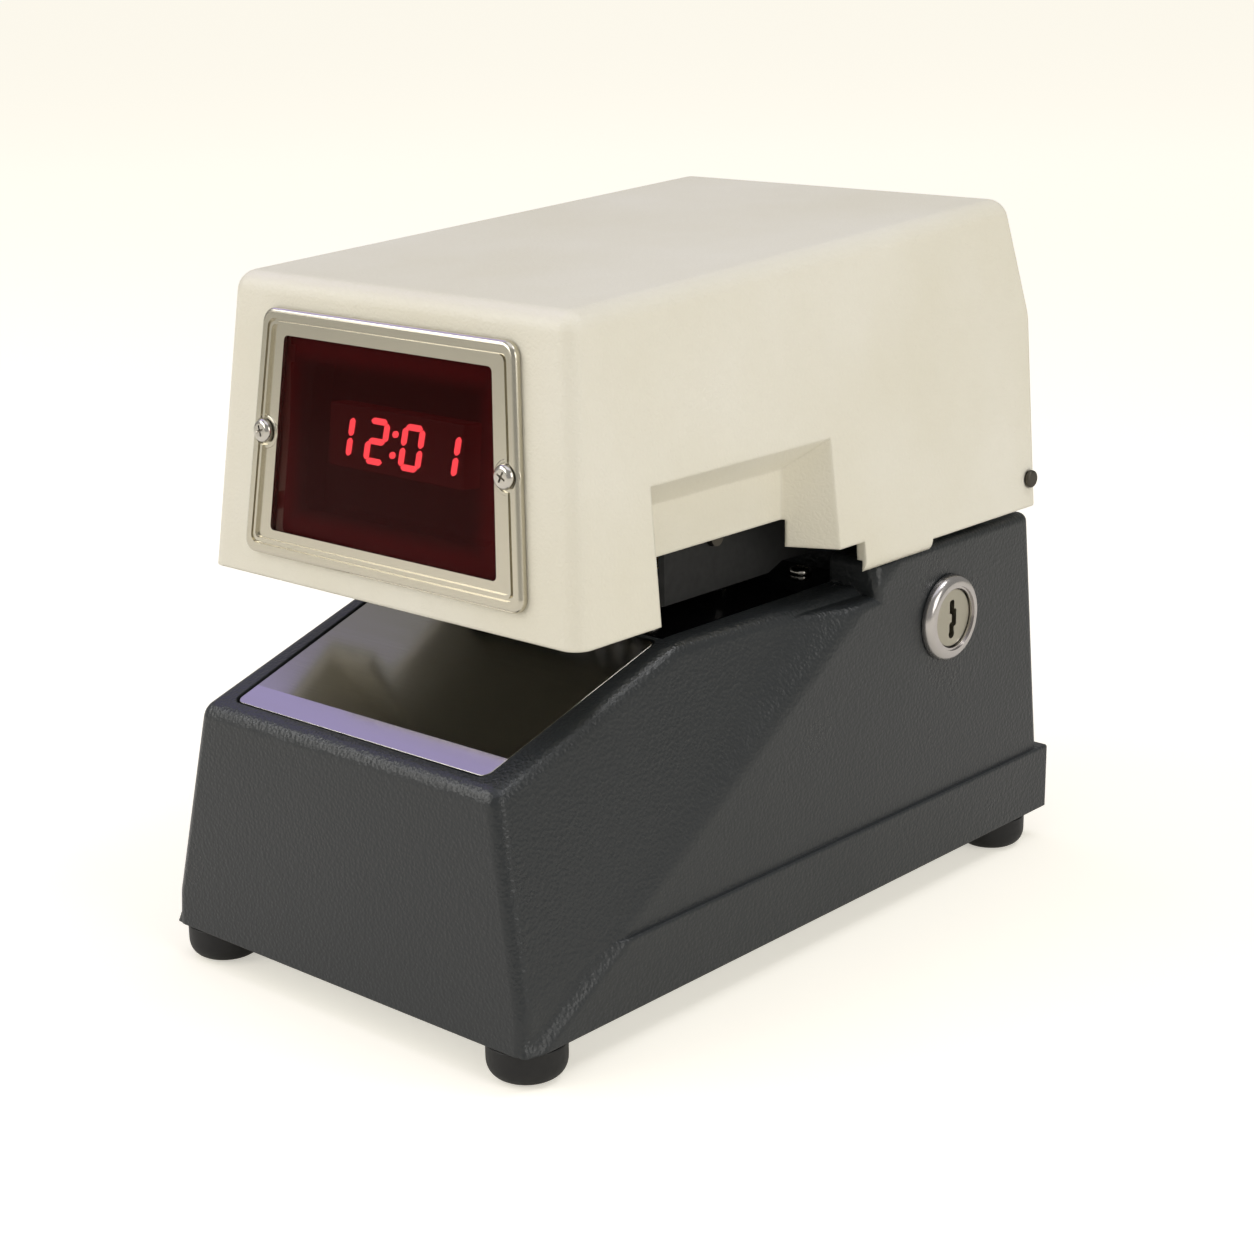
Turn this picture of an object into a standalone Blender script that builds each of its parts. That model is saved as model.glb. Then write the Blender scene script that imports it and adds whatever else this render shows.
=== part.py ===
"""Desk-top punch time clock: a plastic cover over a cast base, with a clock-driven type-wheel head above
a document throat and a solenoid hammer below it.

Design frame used by every number here: X to the right, Y back from the base's front edge, Z up from the
housing's lower edge. The parent empty at the end puts the origin under the middle, on the table."""

import math

import bmesh
import bpy
from mathutils import Matrix, Vector

MM = 0.001
GAP = 0.3 * MM  # between pieces that touch
RUN = 0.3 * MM  # radial clearance of a shaft in its bore

# Base housing
BASE_WIDTH = 138.0 * MM
BASE_LENGTH = 234.0 * MM
BASE_WALL = 2.8 * MM
TOP_WALL = 4.5 * MM  # under the table plate and the throat
FRONT_LIP = (4.2 * MM, 65.0 * MM)  # Y, Z of the front's upper edge
CREST_Y = 72.8 * MM
CREST_Z = 87.6 * MM
FRONT_DRAFT = 0.2042  # the front part narrows this much for each unit of height
FRONT_FLARE = 0.065  # and widens this much for each unit of depth
BAND_PROUD = 1.3 * MM  # the plinth band stands out this far
BAND_Z = 20.0 * MM
REAR_DRAFT = 0.012
BACK_LEAN = 10.2 * MM  # the back leans in this much from the lower edge to the deck
DECK_Z = 96.0 * MM
DECK_WALL = 3.0 * MM
SHOULDER_Y = 146.0 * MM
CREASE_START = (1.5 * MM, 0.0)
CREASE_SLOPE = 0.6
CREASE_ANGLE = math.radians(28)

# Cover
COVER_PROUD = 0.3 * MM  # the cover's lower edge lies this far inside the plinth band, each side
COVER_WALL = 3.0 * MM
COVER_DRAFT = 0.0885
COVER_LOW_Z = 98.5 * MM
NOSE_LOW_Y = 20.9 * MM
NOSE_LOW_Z = 99.2 * MM
NOSE_REAR_Y = 51.6 * MM
COVER_TOP_FRONT = (28.3 * MM, 179.4 * MM)
COVER_TOP_REAR_Z = 189.3 * MM
BACK_TOP_INSET = 18.3 * MM  # from the base's rear edge to the cover's top, break and lower edges
BACK_BREAK_INSET = 8.1 * MM
BACK_LOW_INSET = 9.3 * MM
BACK_BREAK_Z = 155.1 * MM
NOTCH_REAR_Y = 125.5 * MM
NOTCH_TOP_Z = 136.0 * MM
NOTCH_DEPTH = 14.0 * MM
NOTCH_SLANT_Y = 7.0 * MM
NOTCH_SLANT_Z = 10.5 * MM
NOTCH_LOW_Z = 111.5 * MM
TAB_START_Y = 137.0 * MM
TAB_END_Y = 169.0 * MM
TAB_LOW_Z = 94.0 * MM
TAB_THICK = 1.7 * MM
CHEEK_LOW_Z = 104.0 * MM

# Display
BEZEL_TOP_WIDTH = 91.6 * MM
BEZEL_LOW_WIDTH = 104.2 * MM
BEZEL_HEIGHT = 66.0 * MM
BEZEL_CENTRE_Z = 138.7 * MM
BEZEL_THICK = 2.4 * MM
WINDOW_TOP_WIDTH = 75.9 * MM
WINDOW_LOW_WIDTH = 84.5 * MM
WINDOW_HEIGHT = 52.2 * MM
LENS_LAP = 2.5 * MM
LENS_THICK = 2.0 * MM
DIGIT_HEIGHT = 10.4 * MM
DIGIT_WIDTH = 6.2 * MM
DIGIT_PITCH = 9.4 * MM
BOARD_THICK = 1.6 * MM
BOARD_DEPTH = 12.0 * MM  # from the cover's outer face to the display board's front

# Feet, plates and screws
FOOT_RADIUS = 10.5 * MM
FOOT_HEIGHT = 10.0 * MM
FOOT_INSET = 10.5 * MM
STEM_RADIUS = 2.4 * MM
BOSS_RADIUS = FOOT_RADIUS - BAND_PROUD - BASE_WALL + 1.5 * MM  # so that it runs into the wall
PLATE_THICK = 1.5 * MM
TABLE_THICK = 1.0 * MM
TABLE_WIDTH = 94.7 * MM
TABLE_REAR_WIDTH = 98.0 * MM
TABLE_START = 5.7 * MM  # along the slope from the front lip
THROAT_START_Y = 74.5 * MM
THROAT_END_Y = 157.5 * MM
THROAT_WIDTH = 98.0 * MM
RECESS_GAP = 0.7 * MM
RECESS_DEPTH = 1.6 * MM
SCREW_HEAD_RADIUS = 3.2 * MM
SCREW_HEAD_HEIGHT = 1.9 * MM
SCREW_RADIUS = 1.5 * MM
SCREW_X = 37.0 * MM
SCREW_INSET = 8.5 * MM

# Lock
LOCK_Z = 73.0 * MM
LOCK_BACK = 54.5 * MM  # from the base's rear edge
LOCK_RING_RADIUS = 12.7 * MM
LOCK_BODY_RADIUS = 10.5 * MM
LOCK_PLUG_RADIUS = 8.5 * MM
LOCK_LENGTH = 17.0 * MM
LOCK_PROUD = 3.0 * MM
CAM_LENGTH = 17.5 * MM
CAM_WIDTH = 7.0 * MM
FINGER_LENGTH = 4.5 * MM  # the cam's hooked end
FINGER_THICK = 3.2 * MM
CAM_THICK = 2.5 * MM

# Cover hinge
HINGE_BACK = 15.0 * MM
HINGE_Z = 107.0 * MM
HINGE_PIN_RADIUS = 2.0 * MM
BRACKET_THICK = 2.0 * MM

# Print head
WHEEL_RADIUS = 14.0 * MM
WHEEL_WIDTH = 6.0 * MM
WHEEL_PITCH = 7.0 * MM
WHEEL_Y = 100.0 * MM
WHEEL_CLEAR = 0.4 * MM
SHAFT_RADIUS = 2.5 * MM
FRAME_X = 42.8 * MM
FRAME_THICK = 2.0 * MM
SHIELD_Z = 93.0 * MM
SHIELD_THICK = 1.0 * MM
RIBBON_THICK = 0.4 * MM
RIBBON_WIDTH = 12.7 * MM
GEAR_MODULE = 0.8 * MM
GEAR_TEETH = 30
PINION_TEETH = 12
GEAR_WIDTH = 3.5 * MM
MOTOR_RADIUS = 10.0 * MM

# Hammer
PIVOT_Y = 168.0 * MM
PIVOT_Z = 72.0 * MM
PLATEN_HALF_X = 20.0 * MM
PLATEN_HALF_Y = 6.0 * MM
PLATEN_REST = 0.4 * MM  # the pad rests this far below the throat plate's top
SOLENOID_HALF = 13.0 * MM
SOLENOID_Y = 187.0 * MM
SOLENOID_TOP_Z = 58.0 * MM
SOLENOID_LOW_Z = 26.0 * MM
PLUNGER_RADIUS = 5.0 * MM
TRIGGER_X = 28.0 * MM
TRIGGER_Y = 124.0 * MM
TRIGGER_Z = 76.0 * MM

# Power inlet, on the back
INLET_X = -30.0 * MM
INLET_Z = 42.0 * MM
INLET_FLANGE = (50.0 * MM, 24.0 * MM, 2.5 * MM)
INLET_BODY = (27.0 * MM, 19.0 * MM, 22.0 * MM)
INLET_SOCKET = (24.0 * MM, 16.0 * MM, 15.0 * MM)
INLET_SCREW_X = 20.0 * MM

COLOURS = {
    "housing": ((0.055, 0.058, 0.063), 0.55, 0.0),
    "cover": ((0.74, 0.71, 0.62), 0.5, 0.0),
    "steel": ((0.55, 0.55, 0.56), 0.3, 1.0),
    "bright": ((0.72, 0.71, 0.68), 0.2, 1.0),
    "black": ((0.012, 0.012, 0.013), 0.25, 0.0),
    "rubber": ((0.02, 0.02, 0.02), 0.75, 0.0),
    "lens": ((0.16, 0.004, 0.004), 0.1, 0.0),
    "board": ((0.03, 0.13, 0.06), 0.45, 0.0),
    "brass": ((0.62, 0.45, 0.16), 0.35, 1.0),
    "type": ((0.25, 0.25, 0.27), 0.4, 1.0),
    "ribbon": ((0.03, 0.02, 0.06), 0.9, 0.0),
    "copper": ((0.42, 0.18, 0.07), 0.4, 0.6),
}


# ---- Modelling helpers

def material(name):
    found = bpy.data.materials.get(name)
    if found:
        return found
    colour, roughness, metallic = COLOURS[name]
    made = bpy.data.materials.new(name)
    made.use_nodes = True
    shader = made.node_tree.nodes["Principled BSDF"]
    shader.inputs["Base Color"].default_value = (*colour, 1.0)
    shader.inputs["Roughness"].default_value = roughness
    shader.inputs["Metallic"].default_value = metallic
    return made


def finish_mesh(name, mesh_data):
    """Closes a bmesh into an object whose faces point out."""
    bmesh.ops.remove_doubles(mesh_data, verts=mesh_data.verts, dist=1e-7)
    bmesh.ops.recalc_face_normals(mesh_data, faces=mesh_data.faces)
    mesh = bpy.data.meshes.new(name)
    mesh_data.to_mesh(mesh)
    mesh_data.free()
    made = bpy.data.objects.new(name, mesh)
    bpy.context.scene.collection.objects.link(made)
    return made


def box(name, low, high):
    data = bmesh.new()
    bmesh.ops.create_cube(data, size=1.0)
    for vert in data.verts:
        vert.co = Vector(low[i] + (vert.co[i] + 0.5) * (high[i] - low[i]) for i in range(3))
    return finish_mesh(name, data)


def block(name, x, y, z):
    """A box from its (low, high) along each axis."""
    return box(name, (x[0], y[0], z[0]), (x[1], y[1], z[1]))


def prism(name, outline, axis, start, end):
    """Extrudes an outline along one axis. Its points give the other two coordinates, in X, Y, Z order."""
    data = bmesh.new()
    rings = []
    for level in (start, end):
        ring = []
        for first, second in outline:
            point = [first, second]
            point.insert("XYZ".index(axis), level)
            ring.append(data.verts.new(point))
        rings.append(ring)
        data.faces.new(ring)
    count = len(outline)
    for i in range(count):
        j = (i + 1) % count
        data.faces.new((rings[0][i], rings[0][j], rings[1][j], rings[1][i]))
    return finish_mesh(name, data)


AXIS_TURN = {
    "Z": Matrix.Identity(4),
    "X": Matrix.Rotation(math.radians(90), 4, "Y"),
    "Y": Matrix.Rotation(math.radians(-90), 4, "X"),
}


def turned(name, profile, centre, axis="Z", sides=32):
    """Spins a closed (radius, height) profile about an axis through centre."""
    data = bmesh.new()
    ring = [data.verts.new((radius, 0.0, height)) for radius, height in profile]
    edges = [data.edges.new((ring[i], ring[(i + 1) % len(ring)])) for i in range(len(ring))]
    bmesh.ops.spin(
        data, geom=ring + edges, cent=(0, 0, 0), axis=(0, 0, 1), angle=math.tau, steps=sides,
        use_merge=True,
    )
    bmesh.ops.remove_doubles(data, verts=data.verts, dist=1e-7)
    flat = [edge for edge in data.edges if not edge.link_faces]
    bmesh.ops.delete(data, geom=flat, context="EDGES")
    data.transform(Matrix.Translation(centre) @ AXIS_TURN[axis])
    return smooth(finish_mesh(name, data))


def rod(name, centre, axis, radius, start, end, sides=24):
    """A cylinder from start to end along its axis."""
    profile = [(0.0, start), (radius, start), (radius, end), (0.0, end)]
    return turned(name, profile, centre, axis, sides)


def bounded(name, planes):
    """The convex solid that lies behind every (point, outward normal) plane."""
    data = bmesh.new()
    bmesh.ops.create_cube(data, size=2.0)
    for point, normal in planes:
        geometry = data.verts[:] + data.edges[:] + data.faces[:]
        result = bmesh.ops.bisect_plane(
            data, geom=geometry, plane_co=point, plane_no=normal, clear_outer=True
        )
        rim = [part for part in result["geom_cut"] if isinstance(part, bmesh.types.BMEdge)]
        if rim:
            bmesh.ops.contextual_create(data, geom=rim)
    return finish_mesh(name, data)


def inset(planes, distance):
    return [(point - normal * distance, normal) for point, normal in planes]


def profile_plane(start, end):
    """The plane along X through two (Y, Z) points, facing left of the way from start to end."""
    normal = Vector((0.0, start[1] - end[1], end[0] - start[0])).normalized()
    return Vector((0.0, *start)), normal


def side_planes(half, flare, draft, z_start=0.0):
    """The left and right planes of a body that flares with Y and narrows with Z above z_start."""
    return [
        (Vector((side * half, 0.0, z_start)), Vector((side, -flare, draft)).normalized())
        for side in (-1, 1)
    ]


def limit(axis, value, facing):
    """The plane across an axis at value, facing +1 or -1."""
    index = "XYZ".index(axis)
    point, normal = Vector((0, 0, 0)), Vector((0, 0, 0))
    point[index] = value
    normal[index] = facing
    return point, normal


def applied(target):
    graph = bpy.context.evaluated_depsgraph_get()
    mesh = bpy.data.meshes.new_from_object(target.evaluated_get(graph))
    target.modifiers.clear()
    target.data = mesh
    return target


def triangulated(target):
    """Flat triangles, with none thinner than a couple of microns, which a Boolean cuts cleanly."""
    data = bmesh.new()
    data.from_mesh(target.data)
    bmesh.ops.remove_doubles(data, verts=data.verts, dist=2e-6)
    bmesh.ops.dissolve_degenerate(data, dist=2e-6, edges=data.edges)
    bmesh.ops.triangulate(data, faces=data.faces)
    data.to_mesh(target.data)
    data.free()
    return target


def combine(target, tools, operation):
    for tool in tools:
        modifier = target.modifiers.new("shape", "BOOLEAN")
        modifier.operation = operation
        modifier.object = triangulated(tool)
        triangulated(applied(target))
        bpy.data.objects.remove(tool)
    return target


def cut(target, *tools):
    return combine(target, tools, "DIFFERENCE")


def join(target, *tools):
    return combine(target, tools, "UNION")


def bevelled(target, width, segments=2, angle=30.0):
    modifier = target.modifiers.new("edges", "BEVEL")
    modifier.width = width
    modifier.segments = segments
    modifier.limit_method = "ANGLE"
    modifier.angle_limit = math.radians(angle)
    return applied(target)


def smooth(target, angle=35.0):
    target.data.shade_smooth()
    target.data.set_sharp_from_angle(angle=math.radians(angle))
    return target


def moved(target, matrix):
    target.data.transform(matrix)
    return target


def named(target, name, colour, pivot=None):
    """Gives a finished piece its name, its own material and, if it moves, its origin on the joint's axis."""
    target.name = target.data.name = name
    own = material(colour).copy()
    own.name = name
    target.data.materials.clear()
    target.data.materials.append(own)
    if pivot is not None:
        target.data.transform(Matrix.Translation(-Vector(pivot)))
        target.location = pivot
    target.parent = clock
    return target


def pan_screw(name, matrix, length, colour="bright"):
    """A cross-recessed pan-head screw. Its local Z is the way the head faces, and 0 is under the head."""
    head, shank = SCREW_HEAD_RADIUS, SCREW_RADIUS
    profile = [
        (0.0, -length),
        (shank, -length),
        (shank, 0.0),
        (head, 0.0),
        (head, 0.45 * SCREW_HEAD_HEIGHT),
        (0.72 * head, 0.85 * SCREW_HEAD_HEIGHT),
        (0.0, SCREW_HEAD_HEIGHT),
    ]
    screw = turned(name, profile, (0, 0, 0), "Z", 14)
    arm, half = 0.55 * head, 0.13 * head
    depth = 0.5 * SCREW_HEAD_HEIGHT
    for across, along in ((arm, half), (half, arm)):
        cut(screw, block("slot", (-across, across), (-along, along), (depth, 2 * SCREW_HEAD_HEIGHT)))
    moved(screw, matrix)
    return named(screw, name, colour)


def trapezoid(top, low, height, grow=0.0):
    """A window outline in X and Z about its centre, wider at the bottom, grown evenly all round."""
    half = height / 2 + grow
    lean = (low - top) / (2 * height)
    middle = (low + top) / 4 + grow
    return [
        (-middle - lean * half, -half),
        (middle + lean * half, -half),
        (middle - lean * half, half),
        (-middle + lean * half, half),
    ]


# ---- Start from an empty scene

for old in list(bpy.data.objects):
    bpy.data.objects.remove(old)
clock = bpy.data.objects.new("time_clock", None)
bpy.context.scene.collection.objects.link(clock)
clock.location = (0.0, -BASE_LENGTH / 2, FOOT_HEIGHT)


# ---- Sizes worked out from the driving ones

HALF = BASE_WIDTH / 2
REAR_HALF = HALF - BAND_PROUD
BACK_TOP_Y = BASE_LENGTH - BAND_PROUD - BACK_LEAN
COVER_HALF = HALF - COVER_PROUD


def rear_half(z):
    return REAR_HALF - REAR_DRAFT * z


def back_y(z):
    return BASE_LENGTH - BAND_PROUD - BACK_LEAN * z / DECK_Z


def cover_half(z):
    return COVER_HALF - COVER_DRAFT * (z - NOSE_LOW_Z)


SLOPE_ANGLE = math.atan2(CREST_Z - FRONT_LIP[1], CREST_Y - FRONT_LIP[0])
SLOPE_LENGTH = math.hypot(CREST_Z - FRONT_LIP[1], CREST_Y - FRONT_LIP[0])
FACE_LEAN = math.atan2(COVER_TOP_FRONT[0] - NOSE_LOW_Y, COVER_TOP_FRONT[1] - NOSE_LOW_Z)
BACK_ANGLE = math.atan2(BACK_LEAN, DECK_Z)
ON_SLOPE = Matrix.Translation((0, *FRONT_LIP)) @ Matrix.Rotation(SLOPE_ANGLE, 4, "X")
FACE_Y = NOSE_LOW_Y + (BEZEL_CENTRE_Z - NOSE_LOW_Z) * math.tan(FACE_LEAN)
ON_FACE = Matrix.Translation((0, FACE_Y, BEZEL_CENTRE_Z)) @ Matrix.Rotation(-FACE_LEAN, 4, "X")
ON_BACK = Matrix.Translation((INLET_X, back_y(INLET_Z), INLET_Z)) @ Matrix.Rotation(BACK_ANGLE, 4, "X")
THROAT_TOP_Z = CREST_Z - RECESS_DEPTH + GAP + TABLE_THICK
CREST_UNDER_Z = CREST_Z - TOP_WALL
FOOT_X = HALF - FOOT_RADIUS
FOOT_YS = (FOOT_INSET, BASE_LENGTH - FOOT_INSET - 5.0 * MM)
LOCK_Y = BASE_LENGTH - LOCK_BACK
HINGE_Y = BASE_LENGTH - HINGE_BACK
BRACKET_X = cover_half(HINGE_Z) - COVER_WALL - 2.0 * MM  # the bracket's outer face
WHEEL_Z = SHIELD_Z + SHIELD_THICK + WHEEL_CLEAR + RIBBON_THICK + WHEEL_CLEAR + WHEEL_RADIUS
MESH_ANGLE = math.radians(60)
MESH_DISTANCE = GEAR_MODULE * (GEAR_TEETH + PINION_TEETH) / 2
MOTOR_Y = WHEEL_Y + MESH_DISTANCE * math.cos(MESH_ANGLE)
MOTOR_Z = WHEEL_Z + MESH_DISTANCE * math.sin(MESH_ANGLE)
DECK_START_Y = THROAT_END_Y + 0.5 * MM


# ---- Base housing: a cast shell, drafted in front and upright behind, open below

def crease_planes():
    """The slanting facets that step out from the drafted front to the full-width rear."""
    length = math.hypot(1.0, CREASE_SLOPE)
    across = Vector((0.0, -CREASE_SLOPE / length, 1.0 / length)) * math.tan(CREASE_ANGLE)
    planes = []
    for side in (-1, 1):
        normal = (Vector((side, 0.0, 0.0)) + across).normalized()
        planes.append((Vector((side * REAR_HALF, *CREASE_START)), normal))
    return planes


def housing_bodies():
    """The planes of the front, the rear, the deck and the plinth band, each a convex body."""
    below = limit("Z", -5.0 * MM, -1)
    face = profile_plane((0.0, 0.0), FRONT_LIP)
    slope = profile_plane(FRONT_LIP, (CREST_Y, CREST_Z))
    back = profile_plane((BACK_TOP_Y, DECK_Z), (BASE_LENGTH - BAND_PROUD, 0.0))
    drafted = side_planes(HALF, FRONT_FLARE, FRONT_DRAFT)
    upright = side_planes(REAR_HALF, 0.0, REAR_DRAFT)
    inner_face = inset([face, slope], 0.5 * MM)
    front = [below, face, slope, *drafted, limit("Z", CREST_Z, 1), limit("Y", SHOULDER_Y + 40 * MM, 1)]
    front += inset(upright, 0.4 * MM)
    rear = [below, back, *upright, *crease_planes(), *inner_face, limit("Z", CREST_Z - 2 * MM, 1)]
    deck = [limit("Z", CREST_Z - 30 * MM, -1), back, *upright, *crease_planes(), limit("Z", DECK_Z, 1)]
    deck.append(limit("Y", SHOULDER_Y, -1))
    band = [below, *side_planes(HALF, 0.0, 0.0), *crease_planes(), *inner_face, limit("Z", BAND_Z, 1)]
    band.append(limit("Y", BASE_LENGTH, 1))
    return front, rear, deck, band


def housing_void():
    """The hollow inside, as the same bodies drawn in by the wall."""
    below = limit("Z", -8.0 * MM, -1)
    front, rear, deck, _ = housing_bodies()
    thick = TOP_WALL - BASE_WALL
    front_void = inset(front[1:], BASE_WALL) + [limit("Z", CREST_UNDER_Z, 1), below]
    front_void += inset([front[2]], TOP_WALL)
    rear_void = inset(rear[1:], BASE_WALL + 0.2 * MM) + [limit("Z", CREST_UNDER_Z - thick, 1), below]
    deck_void = inset(deck[1:4], BASE_WALL) + [limit("Z", DECK_Z - DECK_WALL, 1)]
    deck_void += [limit("Y", DECK_START_Y + BASE_WALL, -1), limit("Z", CREST_UNDER_Z - 25 * MM, -1)]
    return [front_void, rear_void, deck_void]


def table_outline(grow):
    """The table plate's outline along the slope, in X and distance from the lip."""
    start = TABLE_START - grow
    end = SLOPE_LENGTH - 1.0 * MM + grow
    front, rear = TABLE_WIDTH / 2 + grow, TABLE_REAR_WIDTH / 2 + grow
    return [(-front, start), (front, start), (rear, end), (-rear, end)]


def make_housing():
    front, rear, deck, band = housing_bodies()
    housing = bevelled(bounded("housing", front), 3.0 * MM, 3, 12)
    join(housing, bevelled(bounded("rear", rear), 3.5 * MM, 3, 20))
    join(housing, bevelled(bounded("deck", deck), 3.0 * MM, 3, 20))
    join(housing, bevelled(bounded("band", band), 1.2 * MM, 2, 20))
    cut(housing, block("under", (-1, 1), (-1, 1), (-0.1, 0.0)))
    cut(housing, *[bounded("void", planes) for planes in housing_void()])
    # The document pocket runs back into the deck; its end wall stops the paper.
    pocket = (-THROAT_WIDTH / 2 - 1 * MM, THROAT_WIDTH / 2 + 1 * MM)
    pocket_y = (SHOULDER_Y - 10 * MM, DECK_START_Y)
    cut(housing, block("pocket", pocket, pocket_y, (CREST_Z, DECK_Z + 9 * MM)))
    for x in (-FOOT_X, FOOT_X):
        for y in FOOT_YS:
            top = PLATE_THICK + GAP + 12 * MM
            join(housing, rod("boss", (x, y, 0), "Z", BOSS_RADIUS, PLATE_THICK + GAP, top, 20))
            cut(housing, rod("hole", (x, y, 0), "Z", STEM_RADIUS + GAP, -1 * MM, top - 2 * MM, 16))
    # Recesses for the table and throat plates.
    recess = prism("recess", table_outline(RECESS_GAP), "Z", -RECESS_DEPTH, 9 * MM)
    cut(housing, moved(recess, ON_SLOPE))
    throat_half = THROAT_WIDTH / 2 + RECESS_GAP
    throat_y = (THROAT_START_Y - RECESS_GAP, DECK_START_Y)
    throat_z = (CREST_Z - RECESS_DEPTH, CREST_Z + 9 * MM)
    cut(housing, block("recess", (-throat_half, throat_half), throat_y, throat_z))
    # Platen window, trigger slot, screw holes, cable hole and latch slot.
    cut(housing, block("window", *platen_window(), (CREST_UNDER_Z - 9 * MM, CREST_Z + 9 * MM)))
    cut(housing, block("slot", *trigger_slot(), (CREST_UNDER_Z - 9 * MM, CREST_Z + 9 * MM)))
    for x, y in throat_screw_places():
        cut(housing, rod("hole", (x, y, 0), "Z", SCREW_RADIUS + GAP, CREST_UNDER_Z - 5 * MM, CREST_Z, 12))
    through_deck = (DECK_Z - 9 * MM, DECK_Z + 9 * MM)
    cut(housing, block("cables", *cable_hole(), through_deck))
    blade_x, foot_x = latch_x()
    foot_y, foot_z = latch_foot()
    reach = math.hypot(HINGE_Y - foot_y[0], HINGE_Z - foot_z[0])
    slot_x, slot_y = (foot_x[0] - GAP, blade_x[1] + 1.5 * MM), (HINGE_Y - reach, foot_y[0] + 11.5 * MM)
    cut(housing, block("latch", slot_x, slot_y, through_deck))
    # Lock hole.
    cut(housing, rod("lock", (0, LOCK_Y, LOCK_Z), "X", LOCK_BODY_RADIUS + GAP, HALF - 20 * MM, HALF + 9 * MM))
    # Power inlet cut-out and its screw holes.
    half_x, half_z = INLET_BODY[0] / 2 + GAP, INLET_BODY[1] / 2 + GAP
    inlet = block("inlet", (-half_x, half_x), (-12 * MM, 12 * MM), (-half_z, half_z))
    cut(housing, moved(inlet, ON_BACK))
    for x in (-INLET_SCREW_X, INLET_SCREW_X):
        hole = rod("hole", (x, 0, 0), "Y", SCREW_RADIUS + GAP, -12 * MM, 12 * MM, 12)
        cut(housing, moved(hole, ON_BACK))
    return named(smooth(housing), "base_housing", "housing")


def platen_window():
    half_x, half_y = PLATEN_HALF_X + 3 * MM, PLATEN_HALF_Y + 3 * MM
    return (-half_x, half_x), (WHEEL_Y - half_y, WHEEL_Y + half_y)


def trigger_slot():
    return (TRIGGER_X - 3 * MM, TRIGGER_X + 3 * MM), (TRIGGER_Y - 5 * MM, TRIGGER_Y + 10 * MM)


def throat_screw_places():
    ys = (THROAT_START_Y + SCREW_INSET, THROAT_END_Y - SCREW_INSET)
    return [(x, y) for y in ys for x in (-SCREW_X, SCREW_X)]


def cable_hole():
    """The cables pass up through the deck and the print-head frame's floor."""
    return (-0.5 * HALF, -0.26 * HALF), (LOCK_Y - 1.5 * MM, LOCK_Y + 16.5 * MM)


def latch_x():
    """The latch's blade, outboard of the cam's plane, and its foot, which crosses that plane."""
    inner = rear_half(LOCK_Z) - LOCK_LENGTH
    blade = (inner + 1.0 * MM, inner + 2.5 * MM)
    return blade, (inner - CAM_THICK - 1.0 * MM, blade[1])


def latch_foot():
    """The foot's Y and Z: just under the cam's finger when the cam stands up."""
    top = LOCK_Z + CAM_LENGTH - FINGER_THICK - 0.5 * MM
    front = LOCK_Y - CAM_WIDTH / 2 - FINGER_LENGTH + 0.5 * MM
    return (front, LOCK_Y - CAM_WIDTH / 2 - 0.6 * MM), (top - 2 * MM, top)


make_housing()


# ---- Bottom plate with its board posts, and the push-in rubber feet

def make_bottom_plate():
    edge = BASE_WALL + 0.9 * MM
    half = REAR_HALF - edge
    plate = block("plate", (-half, half), (edge, BASE_LENGTH - BAND_PROUD - edge), (0.0, PLATE_THICK))
    bevelled(plate, 0.9 * MM, 1)
    for x in (-FOOT_X, FOOT_X):
        for y in FOOT_YS:
            cut(plate, rod("hole", (x, y, 0), "Z", STEM_RADIUS + GAP, -9 * MM, 9 * MM, 16))
    for x in (-45 * MM, 45 * MM):
        for y in (28 * MM, 128 * MM):
            join(plate, rod("post", (x, y, 0), "Z", 3 * MM, 0.5 * MM, PLATE_THICK + 6 * MM, 12))
    return named(plate, "bottom_plate", "steel")


def make_foot(name, x, y):
    """A rubber foot with a rounded tread and a stem that pushes up through the plate into its boss."""
    top, low = -GAP, -FOOT_HEIGHT
    shape = [(0.0, low), (0.5 * FOOT_RADIUS, low)]
    for step in range(1, 5):
        turn = math.radians(22.5 * step)
        shape.append((
            0.5 * FOOT_RADIUS * (1 + math.sin(turn)),
            low + 0.75 * FOOT_HEIGHT * (1 - math.cos(turn)),
        ))
    shape += [(FOOT_RADIUS, top), (STEM_RADIUS, top)]
    shape += [(STEM_RADIUS, PLATE_THICK + 9 * MM), (0.0, PLATE_THICK + 10 * MM)]
    return named(turned(name, shape, (x, y, 0), "Z", 24), name, "rubber")


make_bottom_plate()
for side_name, foot_x in (("left", -FOOT_X), ("right", FOOT_X)):
    make_foot(f"foot_front_{side_name}", foot_x, FOOT_YS[0])
    make_foot(f"foot_rear_{side_name}", foot_x, FOOT_YS[1])


# ---- Stainless table plate and black throat plate with its four screws

def make_table_plate():
    low = -RECESS_DEPTH + GAP
    plate = prism("plate", table_outline(0.0), "Z", low, low + TABLE_THICK)
    moved(plate, ON_SLOPE)
    return named(plate, "table_plate", "steel")


def make_throat_plate():
    half = THROAT_WIDTH / 2
    low = CREST_Z - RECESS_DEPTH + GAP
    plate = block("plate", (-half, half), (THROAT_START_Y, THROAT_END_Y), (low, low + TABLE_THICK))
    cut(plate, block("window", *platen_window(), (low - 9 * MM, low + 9 * MM)))
    cut(plate, block("slot", *trigger_slot(), (low - 9 * MM, low + 9 * MM)))
    for x, y in throat_screw_places():
        cut(plate, rod("hole", (x, y, 0), "Z", SCREW_RADIUS + GAP, low - 9 * MM, low + 9 * MM, 12))
    return named(plate, "throat_plate", "black")


make_table_plate()
make_throat_plate()
for index, (screw_x, screw_y) in enumerate(throat_screw_places(), 1):
    seat = Matrix.Translation((screw_x, screw_y, THROAT_TOP_Z + GAP))
    pan_screw(f"throat_screw_{index}", seat, TOP_WALL + 1 * MM)


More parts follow.
